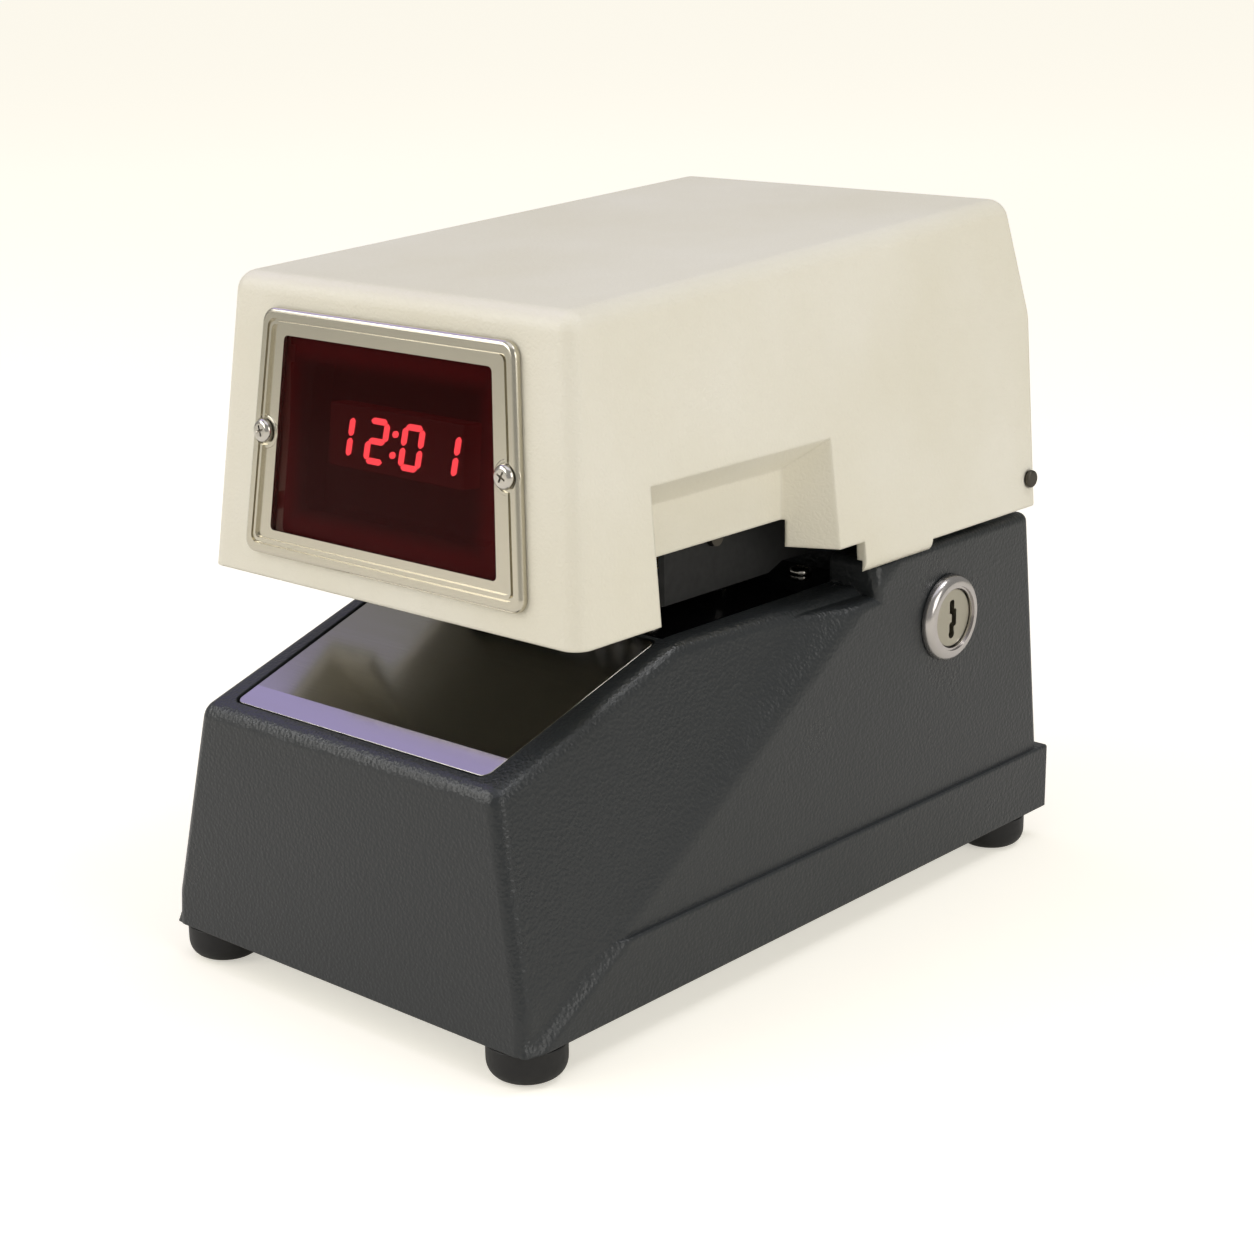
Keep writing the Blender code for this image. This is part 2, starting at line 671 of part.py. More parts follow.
# ---- Cover: a moulded shell with a display nose and a finger notch each side, hinged at the back

def cover_planes():
    back_top = (BASE_LENGTH - BACK_TOP_INSET, COVER_TOP_REAR_Z)
    back_break = (BASE_LENGTH - BACK_BREAK_INSET, BACK_BREAK_Z)
    back_low = (BASE_LENGTH - BACK_LOW_INSET, COVER_LOW_Z)
    return [
        profile_plane((NOSE_LOW_Y, NOSE_LOW_Z), COVER_TOP_FRONT),
        profile_plane(COVER_TOP_FRONT, back_top),
        profile_plane(back_top, back_break),
        profile_plane(back_break, back_low),
        *side_planes(COVER_HALF, 0.0, COVER_DRAFT, NOSE_LOW_Z),
    ]


def notch(side, grow):
    """The finger notch's space: its inner wall, slanting roof and slanting rear, grown by a wall."""
    inner = cover_half(NOTCH_LOW_Z) - NOTCH_DEPTH
    roof = Vector((-side * NOTCH_SLANT_Z, 0.0, NOTCH_DEPTH)).normalized()
    rear = Vector((-side * NOTCH_SLANT_Y, NOTCH_DEPTH, 0.0)).normalized()
    outer = Vector((side * (inner + NOTCH_DEPTH), NOTCH_REAR_Y, NOTCH_TOP_Z))
    planes = [
        (Vector((side * inner, 0, 0)), Vector((-side, 0, 0))),
        (outer, roof),
        (outer, rear),
        limit("Y", NOSE_REAR_Y, -1),
    ]
    return bounded("notch", inset(planes, -grow) + [limit("Z", 0.0, -1), limit("X", side * 0.2, side)])


def make_cover():
    shell = bounded("shell", cover_planes() + [limit("Z", TAB_LOW_Z, -1)])
    bevelled(shell, 5.0 * MM, 3, 8)
    void = bounded("void", inset(cover_planes(), COVER_WALL) + [limit("Z", TAB_LOW_Z - 9 * MM, -1)])
    bevelled(void, 2.5 * MM, 1, 8)
    for side in (-1, 1):
        cut(shell, notch(side, 0.0))
        cut(void, notch(side, COVER_WALL))
    cut(shell, void)
    # Lower edges: the nose, the notch's inner walls, the cheeks, the tabs and the long rear edge.
    wide = (-1.0, 1.0)
    cut(shell, block("nose", wide, (-1.0, NOSE_REAR_Y + COVER_WALL), (0.0, NOSE_LOW_Z)))
    inner = cover_half(NOTCH_LOW_Z) - NOTCH_DEPTH + 1 * MM
    cut(shell, block("walls", (-inner, inner), (NOSE_REAR_Y, NOTCH_REAR_Y + 6 * MM), (0.0, NOTCH_LOW_Z)))
    cut(shell, block("cheeks", wide, (NOSE_REAR_Y + 1 * MM, TAB_START_Y), (0.0, CHEEK_LOW_Z)))
    cut(shell, block("rear", wide, (TAB_END_Y, 1.0), (0.0, COVER_LOW_Z)))
    tab_inner = cover_half(TAB_LOW_Z) - TAB_THICK
    tabs_y = (TAB_START_Y - 9 * MM, TAB_END_Y + 9 * MM)
    cut(shell, block("tabs", (-tab_inner, tab_inner), tabs_y, (0.0, COVER_LOW_Z)))
    # Display opening and the board's four posts.
    opening = trapezoid(WINDOW_TOP_WIDTH, WINDOW_LOW_WIDTH, WINDOW_HEIGHT, LENS_LAP + GAP)
    cut(shell, moved(prism("opening", opening, "Y", -9 * MM, 9 * MM), ON_FACE))
    for x, z in board_posts():
        post = block("post", (x - 2 * MM, x + 2 * MM), (1 * MM, BOARD_DEPTH - GAP), (z - 2 * MM, z + 2 * MM))
        join(shell, moved(post, ON_FACE))
    for x in (-bezel_screw_x(), bezel_screw_x()):
        hole = rod("hole", (x, 0, 0), "Y", SCREW_RADIUS + GAP, -9 * MM, 9 * MM, 12)
        cut(shell, moved(hole, ON_FACE))
    # Hinge-pin holes, and slots in the back that swing past the brackets.
    cut(shell, rod("pins", (0, HINGE_Y, HINGE_Z), "X", HINGE_PIN_RADIUS + RUN, -1.0, 1.0, 16))
    for side in (-1, 1):
        x = sorted((side * (BRACKET_X - BRACKET_THICK - 1.2 * MM), side * (BRACKET_X + 1.0 * MM)))
        cut(shell, block("slot", x, (HINGE_Y + 1 * MM, 1.0), (0.0, HINGE_Z + 7 * MM)))
    return named(smooth(shell), "top_cover", "cover", (0, HINGE_Y, HINGE_Z))


def board_posts():
    """The posts' places round the display opening: the lower pair stands further out."""
    half_z = WINDOW_HEIGHT / 2 - 6 * MM
    return [
        (side * (width / 2 + LENS_LAP + 3.5 * MM), z)
        for width, z in ((WINDOW_TOP_WIDTH, half_z), (WINDOW_LOW_WIDTH, -half_z))
        for side in (-1, 1)
    ]


def bezel_screw_x():
    """Half-way across the frame's side limbs, at mid height."""
    return (BEZEL_TOP_WIDTH + BEZEL_LOW_WIDTH + WINDOW_TOP_WIDTH + WINDOW_LOW_WIDTH) / 8


make_cover()


# ---- Display: bright bezel with two screws, red lens, digit module and its board

def make_bezel():
    outer = trapezoid(BEZEL_TOP_WIDTH, BEZEL_LOW_WIDTH, BEZEL_HEIGHT)
    step = trapezoid(BEZEL_TOP_WIDTH, BEZEL_LOW_WIDTH, BEZEL_HEIGHT, -3.6 * MM)
    inner = trapezoid(WINDOW_TOP_WIDTH, WINDOW_LOW_WIDTH, WINDOW_HEIGHT)
    bezel = prism("bezel", outer, "Y", -GAP - BEZEL_THICK, -GAP)
    bevelled(bezel, 0.9 * MM, 2)
    floor = -GAP - 0.6 * BEZEL_THICK
    cut(bezel, prism("step", step, "Y", -9 * MM, floor))
    cut(bezel, prism("window", inner, "Y", -9 * MM, 9 * MM))
    # Each screw's seat and hole in one stepped cut.
    seat, hole = SCREW_HEAD_RADIUS + 2 * GAP, SCREW_RADIUS + GAP
    for x in (-bezel_screw_x(), bezel_screw_x()):
        profile = [(0.0, -9 * MM), (seat, -9 * MM), (seat, floor), (hole, floor), (hole, 9 * MM)]
        cut(bezel, turned("seat", profile + [(0.0, 9 * MM)], (x, 0, 0), "Y", 20))
    return named(moved(bezel, ON_FACE), "display_bezel", "bright")


def make_lens():
    outline = trapezoid(WINDOW_TOP_WIDTH, WINDOW_LOW_WIDTH, WINDOW_HEIGHT, LENS_LAP)
    lens = prism("lens", outline, "Y", 0.0, LENS_THICK)
    return named(moved(lens, ON_FACE), "display_lens", "lens")


SEGMENTS = {"0": "abcdef", "1": "bc", "2": "abged"}


def segment_bars(centre_x, lit):
    """The lit bars of one seven-segment digit, as (x range, z range)."""
    half_x, half_z, thick = DIGIT_WIDTH / 2, DIGIT_HEIGHT / 2, 0.9 * MM
    left, right = (-half_x, -half_x + thick), (half_x - thick, half_x)
    level, upper, lower = (-half_x, half_x), (0.0, half_z), (-half_z, 0.0)
    places = {
        "a": (level, (half_z - thick, half_z)),
        "b": (right, upper),
        "c": (right, lower),
        "d": (level, (-half_z, -half_z + thick)),
        "e": (left, lower),
        "f": (left, upper),
        "g": (level, (-thick / 2, thick / 2)),
    }
    for letter in lit:
        (x0, x1), z = places[letter]
        yield (centre_x + x0, centre_x + x1), z


def make_digit_module():
    """The four-digit block, with the lit bars of the time standing out of its face."""
    front = BOARD_DEPTH - 7 * MM
    half_x = 2 * DIGIT_PITCH + 3 * MM
    half_z = DIGIT_HEIGHT / 2 + 3 * MM
    module = block("module", (-half_x, half_x), (front, BOARD_DEPTH - GAP), (-half_z, half_z))
    for place, digit in zip((-1.5, -0.5, 0.5, 1.5), "1201"):
        for x, z in segment_bars(place * DIGIT_PITCH, SEGMENTS[digit]):
            join(module, block("bar", x, (front - 0.3 * MM, front + 1 * MM), z))
    for z in (-0.22 * DIGIT_HEIGHT, 0.22 * DIGIT_HEIGHT):
        dot = (z - 0.5 * MM, z + 0.5 * MM)
        join(module, block("dot", (-0.5 * MM, 0.5 * MM), (front - 0.3 * MM, front + 1 * MM), dot))
    return named(moved(module, ON_FACE), "digit_module", "lens")


def make_display_board():
    half_x = WINDOW_LOW_WIDTH / 2 + LENS_LAP + 6 * MM
    half_z = WINDOW_HEIGHT / 2 - 2 * MM
    board = block("board", (-half_x, half_x), (BOARD_DEPTH, BOARD_DEPTH + BOARD_THICK), (-half_z, half_z))
    return named(moved(board, ON_FACE), "display_board", "board")


make_bezel()
make_lens()
make_digit_module()
make_display_board()
for side_name, side in (("left", -1), ("right", 1)):
    out = Matrix.Translation((side * bezel_screw_x(), -BEZEL_THICK * 0.6 - 2 * GAP, 0))
    facing = Matrix.Rotation(math.radians(90), 4, "X")
    pan_screw(f"bezel_screw_{side_name}", ON_FACE @ out @ facing, COVER_WALL + 3 * MM)


# ---- Hinge brackets on the deck, and the pins through the cover's sides

def make_bracket(name, side):
    outline = [
        (HINGE_Y - 12 * MM, DECK_Z + GAP),
        (HINGE_Y + 1.5 * MM, DECK_Z + GAP),
        (HINGE_Y + 3.6 * MM, HINGE_Z - 2 * MM),
        (HINGE_Y + 3.6 * MM, HINGE_Z + 3.6 * MM),
        (HINGE_Y - 4.0 * MM, HINGE_Z + 3.6 * MM),
        (HINGE_Y - 12 * MM, DECK_Z + 5 * MM),
    ]
    x = sorted((side * BRACKET_X, side * (BRACKET_X - BRACKET_THICK)))
    bracket = prism("bracket", outline, "X", *x)
    foot_x = sorted((side * BRACKET_X, side * (BRACKET_X - 11 * MM)))
    foot_y = (HINGE_Y - 16 * MM, HINGE_Y - 6.5 * MM)
    join(bracket, block("foot", foot_x, foot_y, (DECK_Z + GAP, DECK_Z + GAP + BRACKET_THICK)))
    cut(bracket, rod("hole", (0, HINGE_Y, HINGE_Z), "X", HINGE_PIN_RADIUS + GAP, *x_span(side, 9 * MM), 16))
    return named(bracket, name, "steel")


def x_span(side, extra):
    return sorted((side * (BRACKET_X - BRACKET_THICK - extra), side * (BRACKET_X + extra)))


def make_hinge_pin(name, side):
    """A pin headed outside the cover and held in the bracket."""
    head = cover_half(HINGE_Z - 3 * MM) + GAP
    end = BRACKET_X - BRACKET_THICK - 1.5 * MM
    profile = [
        (0.0, end),
        (HINGE_PIN_RADIUS, end),
        (HINGE_PIN_RADIUS, head),
        (1.3 * HINGE_PIN_RADIUS, head),
        (1.3 * HINGE_PIN_RADIUS, head + 0.5 * MM),
        (0.9 * HINGE_PIN_RADIUS, head + 1.0 * MM),
        (0.0, head + 1.2 * MM),
    ]
    pin = turned(name, profile, (0, 0, 0), "X", 16)
    if side < 0:
        moved(pin, Matrix.Rotation(math.pi, 4, "Z"))
    moved(pin, Matrix.Translation((0, HINGE_Y, HINGE_Z)))
    return named(pin, name, "bright")


for side_name, side in (("left", -1), ("right", 1)):
    make_bracket(f"hinge_bracket_{side_name}", side)
    make_hinge_pin(f"hinge_pin_{side_name}", side)


# ---- Key lock in the right wall: barrel, nut, turning plug and cam, and the cover's latch hook

LOCK_FACE = rear_half(LOCK_Z) + GAP
LOCK_CENTRE = (0, LOCK_Y, LOCK_Z)


def make_lock_barrel():
    inner = LOCK_PLUG_RADIUS + GAP
    low = LOCK_FACE - LOCK_LENGTH
    profile = [
        (LOCK_PLUG_RADIUS - 1 * MM + RUN, low),
        (LOCK_BODY_RADIUS, low),
        (LOCK_BODY_RADIUS, LOCK_FACE),
        (LOCK_RING_RADIUS, LOCK_FACE),
        (LOCK_RING_RADIUS, LOCK_FACE + 0.35 * LOCK_PROUD),
        (LOCK_RING_RADIUS - 0.9 * MM, LOCK_FACE + 0.8 * LOCK_PROUD),
        (LOCK_RING_RADIUS - 2.1 * MM, LOCK_FACE + LOCK_PROUD),
        (inner, LOCK_FACE + 0.8 * LOCK_PROUD),
        (inner, LOCK_FACE),
        (LOCK_PLUG_RADIUS - 1 * MM + RUN, LOCK_FACE),
    ]
    return named(turned("lock", profile, LOCK_CENTRE, "X", 32), "lock_barrel", "bright")


def make_lock_plug():
    """The plug turns in the barrel; its face carries the keyway and its square tail the cam."""
    low = LOCK_FACE - LOCK_LENGTH
    face = LOCK_FACE + 0.6 * LOCK_PROUD
    profile = [
        (0.0, low - GAP),
        (LOCK_PLUG_RADIUS - 1 * MM, low - GAP),
        (LOCK_PLUG_RADIUS - 1 * MM, LOCK_FACE + GAP),
        (LOCK_PLUG_RADIUS, LOCK_FACE + GAP),
        (LOCK_PLUG_RADIUS, face),
        (0.0, face),
    ]
    plug = turned("plug", profile, LOCK_CENTRE, "X", 28)
    tail = (low - GAP - CAM_THICK - 1.5 * MM, low)
    square = 2.5 * MM
    tail_y, tail_z = (LOCK_Y - square, LOCK_Y + square), (LOCK_Z - square, LOCK_Z + square)
    join(plug, block("tail", tail, tail_y, tail_z))
    for shift, half, turn in ((-2.4 * MM, 2.9 * MM, 0.16), (2.4 * MM, 2.9 * MM, -0.16)):
        bar = block("key", (face - 4 * MM, face + 4 * MM), (-0.75 * MM, 0.75 * MM), (-half, half))
        place = Matrix.Translation((0, LOCK_Y, LOCK_Z + shift)) @ Matrix.Rotation(turn, 4, "X")
        cut(plug, moved(bar, place))
    return named(plug, "lock_plug", "bright", (LOCK_FACE, LOCK_Y, LOCK_Z))


def make_lock_nut():
    wall = rear_half(LOCK_Z) - BASE_WALL - 1.2 * MM
    outline = []
    for step in range(6):
        turn = math.radians(60 * step)
        outline.append((
            LOCK_Y + (LOCK_BODY_RADIUS + 4 * MM) * math.cos(turn),
            LOCK_Z + (LOCK_BODY_RADIUS + 4 * MM) * math.sin(turn),
        ))
    nut = prism("nut", outline, "X", wall - 4 * MM, wall)
    bore = LOCK_BODY_RADIUS + GAP
    cut(nut, rod("bore", LOCK_CENTRE, "X", bore, wall - 9 * MM, wall + 9 * MM, 28))
    return named(nut, "lock_nut", "steel")


def make_lock_cam():
    """A hooked cam. Unlocked it lies back; a quarter turn lifts its finger over the latch's foot."""
    high = LOCK_FACE - LOCK_LENGTH - 2 * GAP
    half = CAM_WIDTH / 2
    x, end_y = (high - CAM_THICK, high), LOCK_Y + CAM_LENGTH
    cam = block("cam", x, (LOCK_Y - half, end_y), (LOCK_Z - half, LOCK_Z + half))
    join(cam, block("finger", x, (end_y - FINGER_THICK, end_y), (LOCK_Z, LOCK_Z + half + FINGER_LENGTH)))
    square = 2.5 * MM + GAP
    hole = block("hole", (high - 9 * MM, high + 9 * MM), (-square, square), (-square, square))
    cut(cam, moved(hole, Matrix.Translation((0, LOCK_Y, LOCK_Z))))
    return named(cam, "lock_cam", "steel", (high, LOCK_Y, LOCK_Z))


def make_latch_hook():
    """A bent strip from the cover's right wall down through the deck, with a foot that the cam holds."""
    blade_x, foot_x = latch_x()
    foot_y, foot_z = latch_foot()
    blade_y = (foot_y[0], foot_y[0] + 10 * MM)
    wall_x = cover_half(DECK_Z + 16 * MM) - COVER_WALL - GAP
    arm_z = DECK_Z + 5 * MM
    hook = block("blade", blade_x, blade_y, (foot_z[0], arm_z + 1.5 * MM))
    join(hook, block("foot", foot_x, foot_y, foot_z))
    join(hook, block("arm", (blade_x[0], wall_x), blade_y, (arm_z, arm_z + 1.5 * MM)))
    join(hook, block("flange", (wall_x - 1.5 * MM, wall_x), blade_y, (arm_z, DECK_Z + 15.5 * MM)))
    return named(hook, "cover_latch_hook", "steel", (0, HINGE_Y, HINGE_Z))


make_lock_barrel()
make_lock_plug()
make_lock_nut()
make_lock_cam()
make_latch_hook()


# ---- Power inlet on the back, with its two screws

def make_inlet():
    def centred(size, y):
        return (-size[0] / 2, size[0] / 2), y, (-size[1] / 2, size[1] / 2)

    inlet = block("flange", *centred(INLET_FLANGE, (GAP, GAP + INLET_FLANGE[2])))
    bevelled(inlet, 0.8 * MM, 1)
    join(inlet, block("body", *centred(INLET_BODY, (-INLET_BODY[2], 1 * MM))))
    cut(inlet, block("socket", *centred(INLET_SOCKET, (GAP + INLET_FLANGE[2] - INLET_SOCKET[2], 9 * MM))))
    floor = GAP + INLET_FLANGE[2] - INLET_SOCKET[2]
    for x, z in ((-7 * MM, -2 * MM), (0.0, 2 * MM), (7 * MM, -2 * MM)):
        blade_x, blade_z = (x - 1 * MM, x + 1 * MM), (z - 2 * MM, z + 2 * MM)
        join(inlet, block("blade", blade_x, (floor - 1 * MM, floor + 10 * MM), blade_z))
    for x in (-INLET_SCREW_X, INLET_SCREW_X):
        cut(inlet, rod("hole", (x, 0, 0), "Y", SCREW_RADIUS + GAP, -9 * MM, 9 * MM, 12))
    return named(moved(inlet, ON_BACK), "power_inlet", "black")


make_inlet()
for side_name, side in (("left", -1), ("right", 1)):
    out = Matrix.Translation((side * INLET_SCREW_X, INLET_FLANGE[2] + 2 * GAP, 0))
    facing = Matrix.Rotation(math.radians(-90), 4, "X")
    pan_screw(f"inlet_screw_{side_name}", ON_BACK @ out @ facing, BASE_WALL + INLET_FLANGE[2] + 2 * MM)


# ---- Print-head frame: a floor on the deck and two side plates that reach over the throat

FRAME_FLOOR_Z = DECK_Z + GAP
FRAME_REAR_Y = DECK_START_Y + 46 * MM


def make_frame_floor():
    y = (DECK_START_Y + 4 * MM, FRAME_REAR_Y)
    floor = block("floor", (-FRAME_X, FRAME_X), y, (FRAME_FLOOR_Z, FRAME_FLOOR_Z + FRAME_THICK))
    cut(floor, block("cables", *cable_hole(), (DECK_Z - 9 * MM, DECK_Z + 9 * MM)))
    bar = (FRAME_REAR_Y - FRAME_THICK, FRAME_REAR_Y)
    join(floor, block("upstand", (-FRAME_X, FRAME_X), bar, (FRAME_FLOOR_Z, FRAME_FLOOR_Z + 30 * MM)))
    return named(floor, "frame_floor", "steel")


def make_frame_plate(name, side):
    low = FRAME_FLOOR_Z
    outline = [
        (DECK_START_Y + 4 * MM, low),
        (FRAME_REAR_Y, low),
        (FRAME_REAR_Y, low + 42 * MM),
        (WHEEL_Y + 42 * MM, WHEEL_Z + 38 * MM),
        (WHEEL_Y - 10 * MM, WHEEL_Z + 24 * MM),
        (WHEEL_Y - 20 * MM, WHEEL_Z + 12 * MM),
        (WHEEL_Y - 20 * MM, SHIELD_Z + 1 * MM),
        (WHEEL_Y + 24 * MM, SHIELD_Z + 1 * MM),
        (WHEEL_Y + 30 * MM, low),
    ]
    x = sorted((side * (FRAME_X + GAP), side * (FRAME_X + GAP + FRAME_THICK)))
    plate = prism("plate", outline, "X", *x)
    cut(plate, rod("hole", (0, WHEEL_Y, WHEEL_Z), "X", SHAFT_RADIUS + GAP, x[0] - 9 * MM, x[1] + 9 * MM, 16))
    window = block(
        "window", (x[0] - 9 * MM, x[1] + 9 * MM),
        (DECK_START_Y - 15 * MM, FRAME_REAR_Y - 8 * MM), (low + 12 * MM, low + 32 * MM),
    )
    cut(plate, window)
    return named(plate, name, "steel")


make_frame_floor()
make_frame_plate("frame_plate_left", -1)
make_frame_plate("frame_plate_right", 1)


# ---- Type wheels on a fixed shaft, the drive gear and the clock motor with its pinion

WHEEL_CENTRE = (0, WHEEL_Y, WHEEL_Z)
BORE = SHAFT_RADIUS + RUN


def make_wheel_shaft():
    end = FRAME_X + FRAME_THICK + 2 * MM
    shaft = rod("shaft", WHEEL_CENTRE, "X", SHAFT_RADIUS, -end, end, 20)
    return named(shaft, "wheel_shaft", "bright")


def make_type_wheel(name, place):
    """A type wheel with a raised rim band and a hub that keeps its neighbours apart."""
    middle, half = place * WHEEL_PITCH, WHEEL_WIDTH / 2
    hub = WHEEL_PITCH / 2 - 0.2 * MM
    rim = WHEEL_RADIUS - 3 * MM
    profile = [
        (BORE, middle - hub),
        (BORE + 2 * MM, middle - hub),
        (BORE + 2 * MM, middle - half + 1 * MM),
        (rim, middle - half + 1 * MM),
        (rim, middle - half),
        (WHEEL_RADIUS, middle - half),
        (WHEEL_RADIUS, middle + half),
        (rim, middle + half),
        (rim, middle + half - 1 * MM),
        (BORE + 2 * MM, middle + half - 1 * MM),
        (BORE + 2 * MM, middle + hub),
        (BORE, middle + hub),
    ]
    wheel = turned(name, profile, WHEEL_CENTRE, "X", 20)
    return named(wheel, name, "type", (middle, WHEEL_Y, WHEEL_Z))


def gear_outline(teeth, centre, phase):
    """A spur gear's outline in Y and Z, four points to a tooth."""
    pitch = GEAR_MODULE * teeth / 2
    tip, root = pitch + 0.85 * GEAR_MODULE, pitch - 1.15 * GEAR_MODULE
    step = math.tau / teeth
    points = []
    for tooth in range(teeth):
        for share, radius in ((-0.33, root), (-0.12, tip), (0.12, tip), (0.33, root)):
            turn = phase + (tooth + share) * step
            points.append((centre[0] + radius * math.cos(turn), centre[1] + radius * math.sin(turn)))
    return points


GEAR_X = (3 * WHEEL_PITCH + 1 * MM, 3 * WHEEL_PITCH + 1 * MM + GEAR_WIDTH)


def make_drive_gear():
    outline = gear_outline(GEAR_TEETH, (WHEEL_Y, WHEEL_Z), MESH_ANGLE)
    gear = prism("gear", outline, "X", *GEAR_X)
    hub_low = 2.5 * WHEEL_PITCH
    join(gear, rod("hub", WHEEL_CENTRE, "X", BORE + 3 * MM, hub_low, GEAR_X[0] + 1 * MM, 16))
    cut(gear, rod("bore", WHEEL_CENTRE, "X", BORE, hub_low - 9 * MM, GEAR_X[1] + 9 * MM, 16))
    return named(gear, "drive_gear", "brass", (GEAR_X[0], WHEEL_Y, WHEEL_Z))


MOTOR_X = (GEAR_X[1] + 2 * MM, FRAME_X)
MOTOR_CENTRE = (0, MOTOR_Y, MOTOR_Z)


def make_pinion():
    """The pinion and the motor shaft that it is pressed on, which turn together."""
    phase = MESH_ANGLE + math.pi + math.pi / PINION_TEETH
    outline = gear_outline(PINION_TEETH, (MOTOR_Y, MOTOR_Z), phase)
    pinion = prism("pinion", outline, "X", *GEAR_X)
    join(pinion, rod("shaft", MOTOR_CENTRE, "X", 1.6 * MM, GEAR_X[0] + 1 * MM, MOTOR_X[0] + 6 * MM, 12))
    return named(pinion, "motor_pinion", "brass", (GEAR_X[0], MOTOR_Y, MOTOR_Z))


def make_motor():
    motor = rod("motor", MOTOR_CENTRE, "X", MOTOR_RADIUS, *MOTOR_X, 28)
    cut(motor, rod("bore", MOTOR_CENTRE, "X", 1.6 * MM + RUN, MOTOR_X[0] - 9 * MM, MOTOR_X[0] + 8 * MM, 12))
    return named(motor, "clock_motor", "steel")


def make_detent_comb():
    """A spring-steel bar between the frame plates, with a finger resting over each type wheel."""
    reach = WHEEL_RADIUS + 0.4 * MM
    tip_y, tip_z = WHEEL_Y - reach * math.sqrt(0.5), WHEEL_Z + reach * math.sqrt(0.5)
    bar_y, bar_z = (WHEEL_Y - 17 * MM, WHEEL_Y - 13 * MM), (WHEEL_Z + 13 * MM, WHEEL_Z + 16 * MM)
    comb = block("bar", (-FRAME_X, FRAME_X), bar_y, bar_z)
    for place in (-2, -1, 0, 1, 2):
        x = (place * WHEEL_PITCH - 1.5 * MM, place * WHEEL_PITCH + 1.5 * MM)
        finger = [
            (bar_y[0] + 1 * MM, bar_z[0] + 0.5 * MM),
            (tip_y - 0.6 * MM, tip_z),
            (tip_y, tip_z + 0.6 * MM),
            (bar_y[0] + 2 * MM, bar_z[0] + 2 * MM),
        ]
        join(comb, prism("finger", finger, "X", *x))
    return named(comb, "detent_comb", "steel")


make_wheel_shaft()
WHEELS = ("month_wheel", "date_wheel", "hour_wheel", "tens_wheel", "minute_wheel")
for wheel_place, wheel_name in enumerate(WHEELS, -2):
    make_type_wheel(wheel_name, wheel_place)
make_drive_gear()
make_pinion()
make_motor()
make_detent_comb()


# ---- Ribbon: shield with its print window, cassette, band and winding knob

RIBBON_Z = SHIELD_Z + SHIELD_THICK + WHEEL_CLEAR
CASSETTE_Z = (RIBBON_Z + RIBBON_THICK + GAP, RIBBON_Z + RIBBON_THICK + GAP + 13 * MM)
CASSETTE_Y = (WHEEL_Y + 23 * MM, WHEEL_Y + 56 * MM)


def make_ribbon_shield():
    half = FRAME_X - GAP
    y = (WHEEL_Y - 18 * MM, WHEEL_Y + 22 * MM)
    shield = block("tray", (-half, half), y, (SHIELD_Z, SHIELD_Z + 8 * MM))
    inner = half - SHIELD_THICK
    cavity_y = (y[0] + SHIELD_THICK, y[1] + 9 * MM)
    cut(shield, block("cavity", (-inner, inner), cavity_y, (SHIELD_Z + SHIELD_THICK, SHIELD_Z + 19 * MM)))
    half_x, half_y = PLATEN_HALF_X + 2 * MM, PLATEN_HALF_Y + 2 * MM
    window_y = (WHEEL_Y - half_y, WHEEL_Y + half_y)
    cut(shield, block("window", (-half_x, half_x), window_y, (SHIELD_Z - 9 * MM, SHIELD_Z + 5 * MM)))
    return named(shield, "ribbon_shield", "black")


def make_cassette():
    half = FRAME_X - GAP
    cassette = bevelled(block("cassette", (-half, half), CASSETTE_Y, CASSETTE_Z), 1 * MM, 1)
    arm_z = (CASSETTE_Z[0], CASSETTE_Z[0] + 5 * MM)
    for side in (-1, 1):
        x = sorted((side * (half - SHIELD_THICK - GAP), side * (half - 7 * MM)))
        join(cassette, block("arm", x, (WHEEL_Y - 8 * MM, CASSETTE_Y[0] + 2 * MM), arm_z))
    return named(cassette, "ribbon_cassette", "black")


def make_ribbon_band():
    half = FRAME_X - 3 * MM
    y = (WHEEL_Y - RIBBON_WIDTH / 2, WHEEL_Y + RIBBON_WIDTH / 2)
    band = block("band", (-half, half), y, (RIBBON_Z, RIBBON_Z + RIBBON_THICK))
    return named(band, "ribbon_band", "ribbon")


def make_ribbon_knob():
    low = CASSETTE_Z[1] + GAP
    place = (-24 * MM, CASSETTE_Y[1] - 14 * MM, 0)
    profile = [
        (0.0, low),
        (7 * MM, low),
        (7 * MM, low + 3.4 * MM),
        (6.2 * MM, low + 4.2 * MM),
        (0.0, low + 4.2 * MM),
    ]
    knob = turned("knob", profile, place, "Z", 20)
    grip_x, grip_y = (place[0] - 5 * MM, place[0] + 5 * MM), (place[1] - 1 * MM, place[1] + 1 * MM)
    join(knob, block("grip", grip_x, grip_y, (low + 3 * MM, low + 8 * MM)))
    return named(knob, "ribbon_knob", "cover", (place[0], place[1], low))


make_ribbon_shield()
make_cassette()
make_ribbon_band()
make_ribbon_knob()


# ---- Hammer under the throat: arm and pad, shaft, bracket, solenoid, plunger and return spring

ARM_HALF_X = 6.0 * MM
ARM_Z = (PIVOT_Z - 2.0 * MM, PIVOT_Z + 3.5 * MM)
PAD_TOP_Z = THROAT_TOP_Z - PLATEN_REST
PAD_Z = (PAD_TOP_Z - 1.8 * MM, PAD_TOP_Z)
EAR_X = (SOLENOID_HALF + GAP, SOLENOID_HALF + GAP + 2 * MM)
PLUNGER_TOP_Z = PIVOT_Z - 2.7 * MM
SPRING_Z = (SOLENOID_TOP_Z + GAP, PLUNGER_TOP_Z - 4.0 * MM)


